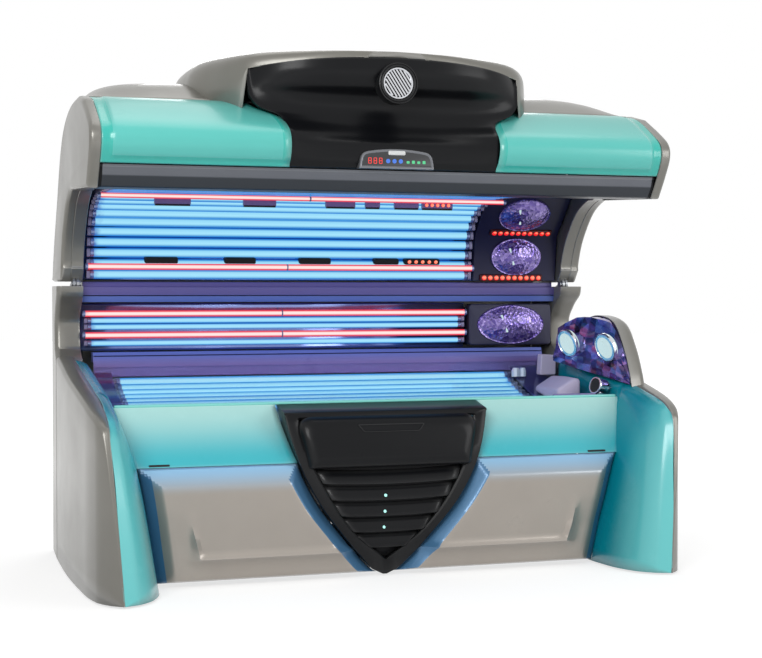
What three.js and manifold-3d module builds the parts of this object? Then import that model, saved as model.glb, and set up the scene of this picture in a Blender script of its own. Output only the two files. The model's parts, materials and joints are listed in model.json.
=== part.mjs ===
// Clamshell tanning bed: a lower half with bench, side tanner and shoulder pod,
// and a canopy on two side hinges.
// Millimetres. X runs along the bed, -Y is the front and +Z is up.
// The origin is on the floor under the middle.
import * as THREE from "three";
import { mergeVertices } from "three/addons/utils/BufferGeometryUtils.js";
import Module from "manifold-3d";

const wasm = await Module();
wasm.setup();

// Overall sizes
const BED_FRONT = -700; // foremost line of the wings
const BED_REAR = 700; // back cover and columns
const LOWER_HALF = 1215; // half length of the lower half, at the bow of its end covers
const END_SWELL = 25; // the lower end covers bow out this far past the canopy end caps
const END_WIDTH = 120; // from that bow to the inner face of a column
const CANOPY_HALF = LOWER_HALF - END_SWELL; // half length over the canopy end caps
const CHEEK_HALF = LOWER_HALF - END_WIDTH; // inner faces of the columns and of the canopy cheeks
const SEAM_HEIGHT = 1160; // top of the lower columns
const SEAM_GAP = 20; // open joint between columns and canopy
const FLOOR_GAP = 8; // covers end this far above the floor

// Walls and clearances
const FIT = 0.5; // gap between pieces that touch
const SHELL = 5; // wall of the moulded covers
const SHEET = 3; // sheet metal and reflectors
const RUNNING = 1; // clearance round turning and sliding pieces

// Wings and end covers
const RIDGE_FLOOR = CHEEK_HALF; // joint between end cover and wing liner at the floor
const RIDGE_LEAN = 42; // how far that joint leans out up to the armrest
const RIDGE_TOP = RIDGE_FLOOR + RIDGE_LEAN;
const ARM_HEIGHT = 657; // top of the wing's front corner
const COLUMN_FRONT = 362; // front edge of the columns at the seam
const COLUMN_START = 340; // where the end cover widens into the column
const WING_FOOT = 176; // width of a wing at the floor, from its joint to the liner's inner face
const WING_LEAN = 81; // how far that face leans out up to the fascia's lower edge
const WING_ARM = 67; // width of a wing at the bench
const LINER_FLOOR = RIDGE_FLOOR - WING_FOOT; // inner face of the liner at the floor
const LINER_SEAM = LINER_FLOOR + WING_LEAN; // the same at the fascia's lower edge
const LINER_TOP = RIDGE_TOP - WING_ARM; // the same at the bench
const LINER_OPEN_BACK = -325; // the liner's lower part stops here, behind the front panels
const LINER_OPEN_TOP = 640;

// Front of the base
const FASCIA_TOP = [-260, 690];
const FASCIA_SEAM = [-390, 468];
const PANEL_BOTTOM = [-335, 15];
const PANEL_RISE = 62; // how far the raised field of a front panel stands out
const PANEL_BEVEL = 70; // width of the slanted border round that field
const SHIELD_TOP = [-385, 664]; // upper edge of the console's face, ahead of the fascia
const SHIELD_TOP_HALF = 430; // half width of the centre console at the bench
const SHIELD_SEAM_HALF = 372; // and at the fascia's lower edge
const SHIELD_RIM = 52; // width of the console's frame
const SHIELD_TIP = 70; // lower tip of the frame's opening
const LOUVRE_COUNT = 5;
const LOUVRE_THICK = 9;

// Bench and lamps
const BENCH_SHEET = 8;
const BENCH_HALF = LINER_TOP - 25;
const LAMP_RADIUS = 19;
const LAMP_PITCH = 46;
const LAMP_STAND_OFF = 34; // lamp axis above its reflector
const SIDE_LAMP_RADIUS = 12;
const RED_LAMP_RADIUS = 10;
const RED_STAND_OFF = 66;
const RED_END = 9; // the red lamps run this far past the blue ones
const LAMP_END = 15; // the lamps end this far from the cheeks
const HEAD_ROOM = 435; // length kept for the facial lamps at the head end
const LAMP_LEFT = LAMP_END - CHEEK_HALF;
const LAMP_RIGHT = CHEEK_HALF - HEAD_ROOM;
const HOLDER = 14; // length of a lamp-holder block along the lamp

// Base frame
const SKID_HEIGHT = 24;
const SKID_WIDTH = 60;
const PAN_HEIGHT = 40;
const PAN_GAP = 35; // the pan ends this far inside the columns' inner faces
const PAN_HALF = CHEEK_HALF - PAN_GAP;
const SKID_X = PAN_HALF - SKID_WIDTH;
const PAN_FRONT = -290;
const PAN_REAR = 640;

// Canopy hinge and counterbalance
const HINGE_Y = 400;
const HINGE_Z = SEAM_HEIGHT + SEAM_GAP / 2;
const HUB_RADIUS = 26;
const PIN_RADIUS = 10;
const POST_THICK = 12;
const POST_X = CHEEK_HALF + SHELL + POST_THICK; // inner face of the hinge post
const ARM_THICK = 10;
const LEVER_REACH = 190; // level distance from the hinge to the gas-spring rod
const LEVER_ANGLE = -21; // lever direction with the canopy open, degrees
const LEVER_HALF_WIDTH = 24;
const ROD_RADIUS = 7;
const ROD_PIN_RADIUS = 8;
const SLOT_PLAY = 3; // slot clearance each side of the rod's cross pin
const CYLINDER_RADIUS = 14;
const CYLINDER_TOP = 700;
const ROD_FOOT = 500;
const ROD_X = CHEEK_HALF + SHELL + RUNNING + CYLINDER_RADIUS;

// Canopy console
const CONSOLE_WALL = 6;
const RAIL_TOP = 431; // above the canopy's lower edge, like all canopy heights
const RAIL_BOTTOM = 347;
const RAIL_WALL = 4;
const CONSOLE_LOW_HALF = 425;
const CONSOLE_HIGH_HALF = 567;
const CONSOLE_TOP = 865;
const CONSOLE_ARCH = 45; // drop of the console's top edge from middle to corner
const NOZZLE_HEIGHT = 765;
const NOZZLE_RADIUS = 62;
const NOZZLE_FACE = -516;
const NOZZLE_DEPTH = 34;
const NOZZLE_SLOTS = 6;
const BEZEL_WIDTH = 18;
const DISPLAY_HALF = 155;
const DISPLAY_FACE = -498;
const DISPLAY_BACK = -462;
const DISPLAY_HEIGHT = 78;
const BUTTON_HALF = 35;
const BUTTON_TALL = 17;
const BUTTON_DEPTH = 12.5;
const BUTTON_PROUD = 2.5;
const BUTTON_TRAVEL = 2;
const ROOF_LIFT = 115; // crown of the roof above the end caps
const HOOD_TOP = 900;
const CAP_ROUND = 30;
const CAP_RIM = 44;
const CHEEK_FRONT = -150;
const CHEEK_TOP = 440;

// Fan behind the centre console
const FAN_RADIUS = 120;
const FAN_DEPTH = 70;
const FAN_HEIGHT = 190;
const FAN_Y = -200;
const FAN_BLADES = 5;

const RIM_X = CANOPY_HALF - CAP_RIM;
const PAN_BOTTOM = SKID_HEIGHT + FIT;
const PAN_FLOOR = PAN_BOTTOM + SHEET;
const CANOPY_BOTTOM = SEAM_HEIGHT + SEAM_GAP;

// Solids and profiles

/** A geometry with positions alone, its shared points merged. */
function bare(geometry) {
  const plain = geometry.index ? geometry.toNonIndexed() : geometry.clone();
  plain.deleteAttribute("normal");
  plain.deleteAttribute("uv");
  return mergeVertices(plain, 1e-4);
}

/** A closed geometry as a solid that can be joined and cut. */
function solid(geometry) {
  const merged = bare(geometry);
  const mesh = new wasm.Mesh({
    numProp: 3,
    vertProperties: merged.attributes.position.array,
    triVerts: new Uint32Array(merged.index.array),
  });
  return new wasm.Manifold(mesh);
}

/** A solid back as a geometry. */
function geometryOf(body) {
  const mesh = body.getMesh();
  const geometry = new THREE.BufferGeometry();
  geometry.setAttribute("position", new THREE.BufferAttribute(new Float32Array(mesh.vertProperties), 3));
  geometry.setIndex(new THREE.BufferAttribute(new Uint32Array(mesh.triVerts), 1));
  geometry.computeVertexNormals();
  return geometry;
}

const join = (...parts) => geometryOf(parts.map(solid).reduce((a, b) => a.add(b)));
const cut = (part, ...tools) => geometryOf(tools.map(solid).reduce((a, b) => a.subtract(b), solid(part)));
const common = (a, b) => geometryOf(solid(a).intersect(solid(b)));

function extrude(loop, depth) {
  const shape = new THREE.Shape(loop.map(([u, v]) => new THREE.Vector2(u, v)));
  return new THREE.ExtrudeGeometry(shape, { depth, bevelEnabled: false });
}

/** A (y, z) outline carried along X. */
function prismX(loop, x0, x1) {
  const turn = new THREE.Matrix4().set(0, 0, 1, x0, 1, 0, 0, 0, 0, 1, 0, 0, 0, 0, 0, 1);
  return extrude(loop, x1 - x0).applyMatrix4(turn);
}

/** An (x, z) outline carried along Y. */
function prismY(loop, y0, y1) {
  const turn = new THREE.Matrix4().set(1, 0, 0, 0, 0, 0, -1, y1, 0, 1, 0, 0, 0, 0, 0, 1);
  return extrude(loop, y1 - y0).applyMatrix4(turn);
}

/** An (x, y) outline carried along Z. */
function prismZ(loop, z0, z1) {
  return extrude(loop, z1 - z0).translate(0, 0, z0);
}

function block(x0, x1, y0, y1, z0, z1) {
  const geometry = new THREE.BoxGeometry(x1 - x0, y1 - y0, z1 - z0);
  return geometry.translate((x0 + x1) / 2, (y0 + y1) / 2, (z0 + z1) / 2);
}

/** A round bar between two points. */
function bar(from, to, radius, sides = 12) {
  const a = new THREE.Vector3(...from);
  const b = new THREE.Vector3(...to);
  const along = b.clone().sub(a);
  const geometry = new THREE.CylinderGeometry(radius, radius, along.length(), sides);
  const up = new THREE.Vector3(0, 1, 0);
  geometry.applyQuaternion(new THREE.Quaternion().setFromUnitVectors(up, along.normalize()));
  const middle = a.add(b).multiplyScalar(0.5);
  return geometry.translate(middle.x, middle.y, middle.z);
}

/** A flat strip of the given half width between two (y, z) points, from x0 to x1. */
function strip(from, to, half, x0, x1) {
  const [dy, dz] = [to[0] - from[0], to[1] - from[1]];
  const length = Math.hypot(dy, dz);
  const [ny, nz] = [(-dz / length) * half, (dy / length) * half];
  const corner = (point, sign) => [point[0] + sign * ny, point[1] + sign * nz];
  return prismX([corner(from, 1), corner(from, -1), corner(to, -1), corner(to, 1)], x0, x1);
}

/** Points on a smooth curve through the given ones. */
function smooth(points, steps) {
  const curve = new THREE.SplineCurve(points.map(([u, v]) => new THREE.Vector2(u, v)));
  return curve.getPoints(steps).map((p) => [p.x, p.y]);
}

function unitNormal(from, to) {
  const [du, dv] = [to[0] - from[0], to[1] - from[1]];
  const length = Math.hypot(du, dv) || 1;
  return [-dv / length, du / length];
}

/** A point moved off its line, towards the left of the way it runs. */
function moved(point, before, after, distance) {
  const limit = 0.5; // keeps a sharp corner from shooting out
  const scale = distance / Math.max(limit, 1 + before[0] * after[0] + before[1] * after[1]);
  return [point[0] + (before[0] + after[0]) * scale, point[1] + (before[1] + after[1]) * scale];
}

/** A line moved sideways, to its left. */
function offsetLine(line, distance) {
  const last = line.length - 1;
  const normals = line.slice(1).map((point, i) => unitNormal(line[i], point));
  const side = (i) => normals[THREE.MathUtils.clamp(i, 0, last - 1)];
  return line.map((point, i) => moved(point, side(i - 1), side(i), distance));
}

/** A closed outline drawn in by a wall's thickness. */
function inset(loop, distance) {
  const area = loop.reduce((sum, [u, v], i) => {
    const [p, q] = loop[(i + 1) % loop.length];
    return sum + u * q - p * v;
  }, 0);
  const turned = area > 0 ? distance : -distance;
  const normals = loop.map((point, i) => unitNormal(point, loop[(i + 1) % loop.length]));
  return loop.map((point, i) => moved(point, normals.at(i - 1), normals[i], turned));
}

/** The outline of a bent sheet: a line and the same line one thickness to its left. */
const band = (line, thickness) => [...line, ...offsetLine(line, thickness).reverse()];

/** The point at a given length along a line. */
function pointAlong(line, distance) {
  let left = distance;
  for (let i = 1; i < line.length; i += 1) {
    const step = Math.hypot(line[i][0] - line[i - 1][0], line[i][1] - line[i - 1][1]);
    if (left <= step) {
      const share = left / step;
      return [0, 1].map((k) => line[i - 1][k] + (line[i][k] - line[i - 1][k]) * share);
    }
    left -= step;
  }
  return line.at(-1);
}

const lineLength = (line) =>
  line.slice(1).reduce((sum, p, i) => sum + Math.hypot(p[0] - line[i][0], p[1] - line[i][1]), 0);

/** The value at u of a run of (u, value) points, straight between them. */
function between(points, u) {
  const next = points.findIndex((p) => p[0] >= u);
  if (next === 0) return points[0][1];
  if (next < 0) return points.at(-1)[1];
  const [[u0, v0], [u1, v1]] = [points[next - 1], points[next]];
  return v0 + ((v1 - v0) * (u - u0)) / (u1 - u0);
}

/** Triangles that close one ring of a loft, in the ring's own winding. */
function capFaces(ring) {
  const normal = ring.reduce((sum, a, i) => {
    const b = ring[(i + 1) % ring.length];
    return [
      sum[0] + (a[1] - b[1]) * (a[2] + b[2]),
      sum[1] + (a[2] - b[2]) * (a[0] + b[0]),
      sum[2] + (a[0] - b[0]) * (a[1] + b[1]),
    ];
  }, [0, 0, 0]);
  const drop = normal.map(Math.abs).indexOf(Math.max(...normal.map(Math.abs)));
  const [p, q] = [(drop + 1) % 3, (drop + 2) % 3];
  const flat = ring.map((point) => new THREE.Vector2(point[p], point[q]));
  const faces = THREE.ShapeUtils.triangulateShape(flat, []);
  return THREE.ShapeUtils.isClockWise(flat) ? faces.map(([a, b, c]) => [a, c, b]) : faces;
}

/** A closed solid skinned over a row of rings, each with the same number of [x, y, z] points. */
function loft(rings) {
  const count = rings[0].length;
  const points = rings.flat();
  const faces = [];
  for (let r = 0; r + 1 < rings.length; r += 1) {
    for (let i = 0; i < count; i += 1) {
      const [a, b] = [r * count + i, r * count + ((i + 1) % count)];
      faces.push([a, b, b + count], [a, b + count, a + count]);
    }
  }
  const top = (rings.length - 1) * count;
  capFaces(rings[0]).forEach(([a, b, c]) => faces.push([a, c, b]));
  capFaces(rings.at(-1)).forEach(([a, b, c]) => faces.push([top + a, top + b, top + c]));
  const volume = faces.reduce((sum, [a, b, c]) => {
    const [p, q, r] = [points[a], points[b], points[c]].map((v) => new THREE.Vector3(...v));
    return sum + p.dot(q.cross(r));
  }, 0);
  const wound = volume > 0 ? faces : faces.map(([a, b, c]) => [a, c, b]);
  const geometry = new THREE.BufferGeometry();
  geometry.setAttribute("position", new THREE.Float32BufferAttribute(points.flat(), 3));
  geometry.setIndex(wound.flat());
  return geometry;
}

/** A (y, z) outline carried from x0 to x1 with its edge at x1 rounded over. */
function rounded(loop, x0, x1, radius) {
  const steps = 3;
  const rings = [loop.map(([y, z]) => [x0, y, z])];
  for (let i = 0; i <= steps; i += 1) {
    const angle = (i / steps) * (Math.PI / 2);
    const x = x1 - radius + radius * Math.sin(angle);
    rings.push(inset(loop, radius * (1 - Math.cos(angle))).map(([y, z]) => [x, y, z]));
  }
  return loft(rings);
}

/** The mirror image at the other end of the bed. */
function mirrored(geometry) {
  const image = bare(geometry).scale(-1, 1, 1);
  const corners = Array.from(image.index.array);
  const turned = corners.map((_, i) => corners[i - (i % 3) + ((3 - (i % 3)) % 3)]);
  image.setIndex(turned);
  image.computeVertexNormals();
  return image;
}

// Finishes
const finish = (color, roughness, metalness = 0) => ({ color, roughness, metalness });
const SILVER = finish(0x989288, 0.38, 0.35);
const TEAL = finish(0x63c8c4, 0.22);
const BLACK = finish(0x22242a, 0.3);
const GRAPHITE = finish(0x555a62, 0.4, 0.6);
const CLEAR = finish(0xbfeaf4, 0.05);
const MIRROR = finish(0xb9c6d6, 0.15, 0.9);
const LAMP_BLUE = finish(0x7fd0fb, 0.25);
const LAMP_RED = finish(0xf2495c, 0.25);
const LILAC = finish(0x6b5f9e, 0.4);
const PURPLE = finish(0x4a3d84, 0.15, 0.4);
const STEEL = finish(0x8d9196, 0.35, 0.9);
const CHROME = finish(0xd4d6d8, 0.12, 1);
const GALVANISED = finish(0xa4a8aa, 0.55, 0.7);

const bed = new THREE.Group();
const base = new THREE.Group();
const canopy = new THREE.Group();
canopy.position.z = CANOPY_BOTTOM;
bed.add(base, canopy);

function add(group, name, geometry, look) {
  const mesh = new THREE.Mesh(geometry, new THREE.MeshStandardMaterial(look));
  mesh.name = name;
  group.add(mesh);
}

/** Adds a piece at the right end and its mirror image at the left. */
function addPair(group, name, geometry, look) {
  add(group, name + "_right", geometry, look);
  add(group, name + "_left", mirrored(geometry), look);
}

// Base frame

function basePan() {
  const tongueFront = COLUMN_START + 2 * SHELL;
  const tongueHalf = CANOPY_HALF - 4 * SHELL;
  const outline = (draw) => [
    [-PAN_HALF + draw, PAN_FRONT + draw],
    [PAN_HALF - draw, PAN_FRONT + draw],
    [PAN_HALF - draw, tongueFront + draw],
    [tongueHalf - draw, tongueFront + draw],
    [tongueHalf - draw, PAN_REAR - draw],
    [-tongueHalf + draw, PAN_REAR - draw],
    [-tongueHalf + draw, tongueFront + draw],
    [-PAN_HALF + draw, tongueFront + draw],
  ];
  const tray = prismZ(outline(0), PAN_BOTTOM, PAN_BOTTOM + PAN_HEIGHT);
  return cut(tray, prismZ(outline(SHEET), PAN_FLOOR, PAN_BOTTOM + PAN_HEIGHT + SHEET));
}

function skid() {
  const chamfer = SKID_HEIGHT / 2;
  const front = PAN_FRONT + SKID_WIDTH;
  const profile = [
    [front + chamfer, 0],
    [PAN_REAR - chamfer, 0],
    [PAN_REAR, SKID_HEIGHT],
    [front, SKID_HEIGHT],
  ];
  return prismX(profile, SKID_X - SKID_WIDTH / 2, SKID_X + SKID_WIDTH / 2);
}

add(base, "base_pan", basePan(), GALVANISED);
addPair(base, "skid", skid(), STEEL);

// End covers and wing liners

const wingEdge = smooth(
  [
    [BED_FRONT, FLOOR_GAP],
    [BED_FRONT + 22, 300],
    [BED_FRONT + 62, ARM_HEIGHT - 72],
    [BED_FRONT + 105, ARM_HEIGHT],
    [BED_FRONT + 225, ARM_HEIGHT + 46],
    [-220, ARM_HEIGHT + 100],
    [50, ARM_HEIGHT + 145],
    [314, ARM_HEIGHT + 191],
    [420, ARM_HEIGHT + 209],
  ],
  16,
);
const columnEdge = smooth(
  [
    [COLUMN_FRONT + 106, SEAM_HEIGHT - 270],
    [COLUMN_FRONT + 120, SEAM_HEIGHT - 160],
    [COLUMN_FRONT + 68, SEAM_HEIGHT - 85],
    [COLUMN_FRONT + 5, SEAM_HEIGHT - 30],
    [COLUMN_FRONT, SEAM_HEIGHT],
  ],
  8,
);
const REAR_CORNER = 55;
const sideLoop = [
  ...wingEdge,
  ...columnEdge,
  [BED_REAR, SEAM_HEIGHT],
  [BED_REAR, FLOOR_GAP + REAR_CORNER],
  [BED_REAR - REAR_CORNER, FLOOR_GAP],
];
// The hollow runs out through the floor and through the open top of the column.
const sideHollow = inset(sideLoop, SHELL).map(([y, z]) => {
  if (z < FLOOR_GAP + 2 * SHELL) return [y, -SHELL];
  return [y, z > SEAM_HEIGHT - 2 * SHELL ? SEAM_HEIGHT + SHELL : z];
});

const endBow = smooth(
  [
    [LOWER_HALF - 70, BED_FRONT + 43],
    [LOWER_HALF - 31, BED_FRONT + 123],
    [LOWER_HALF - 12, BED_FRONT + 270],
    [LOWER_HALF, 0],
    [LOWER_HALF - 7, BED_REAR / 2],
    [CANOPY_HALF, BED_REAR + FIT],
  ],
  10,
);

function endCoverRing(z) {
  const ridge = z > ARM_HEIGHT - 60 ? RIDGE_TOP : RIDGE_FLOOR;
  const corners = [
    [CHEEK_HALF, BED_REAR + FIT],
    [CHEEK_HALF, COLUMN_START],
    [ridge, COLUMN_START],
    [ridge, BED_FRONT - FIT],
  ];
  return [...endBow, ...corners].map(([x, y]) => [x, y, z]);
}

function endCover() {
  const levels = [0, ARM_HEIGHT - 57, SEAM_HEIGHT + FIT];
  const side = prismX(sideLoop, LINER_FLOOR, LOWER_HALF + SHELL);
  const outside = common(side, loft(levels.map(endCoverRing)));
  const inner = [
    ...offsetLine(endBow, SHELL).map(([x, y]) => [x, Math.min(y, BED_REAR - SHELL)]),
    [CHEEK_HALF + SHELL, BED_REAR - SHELL],
    [CHEEK_HALF + SHELL, COLUMN_START + SHELL],
    [LINER_FLOOR, COLUMN_START + SHELL],
    [LINER_FLOOR, BED_FRONT + SHELL],
    [RIDGE_FLOOR, BED_FRONT + SHELL],
  ];
  const hollow = common(
    prismX(sideHollow, LINER_FLOOR - SHELL, LOWER_HALF + SHELL),
    prismZ(inner, -2 * SHELL, SEAM_HEIGHT + 2 * SHELL),
  );
  const panTop = PAN_BOTTOM + PAN_HEIGHT + FIT;
  const [notchFront, notchRear] = [COLUMN_START - SHELL, PAN_REAR + RUNNING];
  const panNotch = block(LINER_FLOOR, CHEEK_HALF + 2 * SHELL, notchFront, notchRear, -SHELL, panTop);
  return cut(outside, hollow, panNotch);
}

/** The liner's plan at one height: its rounded nose, its inner face and the joint with the end cover. */
function linerRing(z, nose, face, ridge, draw) {
  const depth = BED_FRONT - FIT;
  const curve = smooth(
    [
      [ridge - 8, depth + 4],
      [nose, depth + 25],
      [face + (nose - face) * 0.45, depth + 92],
      [face + (nose - face) * 0.12, depth + 205],
      [face, depth + 345],
    ],
    8,
  );
  const loop = [[ridge, depth], ...curve, [face, COLUMN_START], [ridge, COLUMN_START]];
  return loop.map(([x, y]) => [x + draw, y + (y < COLUMN_START ? draw : -draw), z]);
}

function wingLiner() {
  const rings = (draw) => [
    linerRing(-SHELL, LINER_FLOOR + 125, LINER_FLOOR, RIDGE_FLOOR - FIT, draw),
    linerRing(FASCIA_SEAM[1], LINER_SEAM + 87, LINER_SEAM, RIDGE_TOP - FIT - 10, draw),
    linerRing(FASCIA_TOP[1], LINER_TOP + 38, LINER_TOP, RIDGE_TOP - FIT, draw),
    linerRing(SEAM_HEIGHT, LINER_TOP + 38, LINER_TOP, RIDGE_TOP - FIT, draw),
  ];
  const far = LOWER_HALF + SHELL;
  const outside = common(prismX(sideLoop, LINER_FLOOR - 2 * SHELL, far), loft(rings(0)));
  const hollow = common(prismX(sideHollow, LINER_FLOOR - 2 * SHELL, far), loft(rings(SHELL)));
  const behind = block(LINER_FLOOR - SHELL, far, LINER_OPEN_BACK, BED_REAR, -SHELL, LINER_OPEN_TOP);
  return cut(outside, hollow, behind);
}

addPair(base, "lower_end", endCover(), SILVER);
addPair(base, "wing_liner", wingLiner(), TEAL);

// Fascia, front panels and centre console

const shieldSide = [
  [FASCIA_TOP[1] + 2, SHIELD_TOP_HALF],
  [FASCIA_TOP[1] - 90, SHIELD_TOP_HALF - 18],
  [FASCIA_SEAM[1], SHIELD_SEAM_HALF],
  [310, SHIELD_SEAM_HALF - 82],
  [180, SHIELD_SEAM_HALF - 182],
  [70, SHIELD_SEAM_HALF - 278],
  [25, SHIELD_SEAM_HALF - 325],
  [FLOOR_GAP, SHIELD_SEAM_HALF - 362],
];
const shieldHalf = (z, grow) => between([...shieldSide].reverse(), z) + grow;
const linerEdge = [
  [0, LINER_FLOOR],
  [FASCIA_SEAM[1], LINER_SEAM],
  [FASCIA_TOP[1], LINER_TOP],
];
const linerFace = (z) => between(linerEdge, z);

/** The console's shield outline in the front view, drawn in or out. */
function shieldLoop(grow) {
  const right = shieldSide.map(([z, half]) => [half + grow, z]);
  const left = right.map(([x, z]) => [-x, z]).reverse();
  return [...right, ...left];
}

function fascia() {
  const slope = band([FASCIA_SEAM, FASCIA_TOP], -SHELL);
  const [low, high] = [FASCIA_SEAM[1] - SHELL, FASCIA_TOP[1] + SHELL];
  const rows = [high, ...shieldSide.slice(0, 3).map(([z]) => z), low];
  const field = [
    [linerFace(low) - FIT, low],
    [linerFace(high) - FIT, high],
    ...rows.map((z) => [shieldHalf(z, 2 * FIT), z]),
  ];
  const column = prismY(field, FASCIA_SEAM[0] - SHELL, FASCIA_TOP[0] + 2 * SHELL);
  return common(prismX(slope, 0, LOWER_HALF), column);
}

/** A front panel: a raised field with slanted borders, pressed from one sheet. */
function frontPanel() {
  const [top, bottom] = [FASCIA_SEAM[1] - SHELL, PANEL_BOTTOM[1]];
  const slope = (z) => between([[bottom, PANEL_BOTTOM[0]], [top, FASCIA_SEAM[0]]], z);
  const outline = (draw) => {
    const [low, high] = [bottom + draw * 0.6, top - draw];
    const rows = shieldSide.map(([z]) => z).filter((z) => z > bottom && z < top).reverse();
    const lift = (z) => low + ((high - low) * (z - bottom)) / (top - bottom);
    const inner = [bottom, ...rows, top].map(lift).map((z) => [shieldHalf(z, 4 * FIT + draw), z]);
    const outer = [high, low].map((z) => [linerFace(z) - 2 * FIT - draw, z]);
    return [...inner, ...outer];
  };
  const ring = (loop, out) => loop.map(([x, z]) => [x, slope(z) - out, z]);
  const field = ring(outline(PANEL_BEVEL), PANEL_RISE);
  const pressing = loft([ring(outline(0), -2 * SHELL), ring(outline(0), 0), field]);
  return cut(pressing, pressing.clone().translate(0, SHELL, 0));
}

const shieldFace = [
  [FLOOR_GAP, -352],
  [140, -392],
  [FASCIA_SEAM[1] - 90, -428],
  [FASCIA_SEAM[1], -424],
  [SHIELD_TOP[1], SHIELD_TOP[0]],
];
const shieldY = (z) => between(shieldFace, z);
const coverTop = SHIELD_TOP[1] - SHIELD_RIM / 2;

/** The console's frame: its face, a ledge back to the fascia's upper edge and sides down to the panels. */
function consoleFrame() {
  const depth = 34;
  const [seamBack, topBack] = [FASCIA_SEAM, FASCIA_TOP].map(([y]) => y + SHELL);
  const back = shieldFace.slice(0, -2).map(([z, y]) => [y + depth, z]);
  const profile = [
    ...shieldFace.map(([z, y]) => [y, z]),
    FASCIA_TOP,
    [topBack, FASCIA_TOP[1]],
    [seamBack, FASCIA_SEAM[1]],
    ...back.reverse(),
  ];
  const opening = [
    ...shieldSide.slice(0, 5).map(([z, half]) => [half - SHIELD_RIM, Math.min(z, coverTop + FIT)]),
    [0, SHIELD_TIP],
  ];
  const mirror = opening.slice(0, -1).map(([x, z]) => [-x, z]).reverse();
  const plate = common(
    prismX(profile, -LOWER_HALF, LOWER_HALF),
    prismY(shieldLoop(0), -LOWER_HALF, 0),
  );
  return cut(plate, prismY([...opening, ...mirror], -LOWER_HALF, 0));
}

/** The bulged upper cover that fills the frame above the fascia's lower edge. */
function consoleCover() {
  const [low, high] = [FASCIA_SEAM[1] - 6, coverTop];
  const bulge = 34;
  const half = (z) => shieldHalf(z, -SHIELD_RIM - 1);
  const outline = [
    [-half(low), low],
    [half(low), low],
    [half(high), high],
    [-half(high), high],
  ];
  const ring = (loop, out) => loop.map(([x, z]) => [x, shieldY(z) - out, z]);
  return loft([ring(outline, -24), ring(outline, bulge / 2), ring(inset(outline, 26), bulge)]);
}

/** The louvre block: slats in front of a perforated-looking back plate of the same outline. */
function consoleLouvres() {
  const high = FASCIA_SEAM[1] - 10;
  const low = SHIELD_TIP + 6;
  const rows = shieldSide.map(([z]) => z).slice(3, 5);
  const right = [high, ...rows].map((z) => [shieldHalf(z, -SHIELD_RIM - 2), z]);
  const loop = [...right, [0, low], ...right.map(([x, z]) => [-x, z]).reverse()];
  const column = prismY(loop, -LOWER_HALF, 0);
  const backLine = [high, shieldFace[2][0], ...rows, low].map((z) => [shieldY(z) + 26, z]);
  const plate = prismX(band(backLine, -SHEET), -LOWER_HALF, LOWER_HALF);
  const pitch = (high - low - 60) / LOUVRE_COUNT;
  const slats = Array.from({ length: LOUVRE_COUNT }, (_, i) => {
    const z = high - pitch * (i + 0.75);
    const lip = [shieldY(z) + 2, z - pitch * 0.28];
    const root = [shieldY(z) + 27, z + pitch * 0.28];
    return strip(lip, root, LOUVRE_THICK / 2, -LOWER_HALF, LOWER_HALF);
  });
  return common(join(plate, ...slats), column);
}

addPair(base, "fascia", fascia(), TEAL);
addPair(base, "front_panel", frontPanel(), SILVER);
add(base, "console_frame", consoleFrame(), BLACK);
add(base, "console_cover", consoleCover(), BLACK);
add(base, "console_louvres", consoleLouvres(), BLACK);

// Bench: clear sheet, lamps and reflector

const benchLine = smooth(
  [
    [FASCIA_TOP[0] + 14, FASCIA_TOP[1]],
    [-150, FASCIA_TOP[1] - 28],
    [20, FASCIA_TOP[1] - 34],
    [200, FASCIA_TOP[1] + 2],
    [350, FASCIA_TOP[1] + 58],
    [440, FASCIA_TOP[1] + 118],
  ],
  12,
);

/** Lamps side by side in front of a reflector line, held at each end by a holder block. */
function lampBank(line, count, x0, x1) {
  const pitch = LAMP_PITCH;
  const start = (lineLength(line) - pitch * (count - 1)) / 2;
  const tubes = Array.from({ length: count }, (_, i) => {
    const [y, z] = pointAlong(line, start + pitch * i);
    return bar([x0 + HOLDER / 2, y, z], [x1 - HOLDER / 2, y, z], LAMP_RADIUS, 8);
  });
  const holder = band(offsetLine(line, -HOLDER), 2 * HOLDER);
  const blocks = [x0, x1 - HOLDER].map((x) => prismX(holder, x, x + HOLDER));
  return join(...blocks, ...tubes);
}

const benchLampLine = offsetLine(benchLine.slice(1, -1), -LAMP_STAND_OFF - FIT);
const benchMirrorLine = offsetLine(benchLine.slice(1, -1), -2 * LAMP_STAND_OFF);
const benchLampCount = Math.floor((lineLength(benchLampLine) - 2 * LAMP_RADIUS) / LAMP_PITCH) + 1;
const BENCH_FOOT_ROOM = 75; // from the sheet's foot end to its lamps
const BENCH_HEAD_ROOM = 185; // and from its head end
const BENCH_LAMP_START = BENCH_FOOT_ROOM - BENCH_HALF;
const BENCH_LAMP_END = BENCH_HALF - BENCH_HEAD_ROOM;

add(base, "bench_sheet", prismX(band(benchLine, BENCH_SHEET), -BENCH_HALF, BENCH_HALF), CLEAR);
const benchLamps = lampBank(benchLampLine, benchLampCount, BENCH_LAMP_START, BENCH_LAMP_END);
add(base, "bench_lamps", benchLamps, LAMP_BLUE);
add(base, "bench_reflector", prismX(band(benchMirrorLine, -SHEET), -BENCH_HALF, BENCH_HALF), MIRROR);

// Rear wall of the lower half: side tanner, trims and back cover

const WALL_TOP = SEAM_HEIGHT - 74;
const WALL_LOW = SEAM_HEIGHT - 278;
const WALL_Y = 512;
const CHEEK_IN = CHEEK_HALF - FIT;
const SIDE_UV_HEIGHTS = [SEAM_HEIGHT - 148, SEAM_HEIGHT - 175, SEAM_HEIGHT - 245];
const SIDE_RED_HEIGHTS = [SEAM_HEIGHT - 118, SEAM_HEIGHT - 210];

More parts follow.
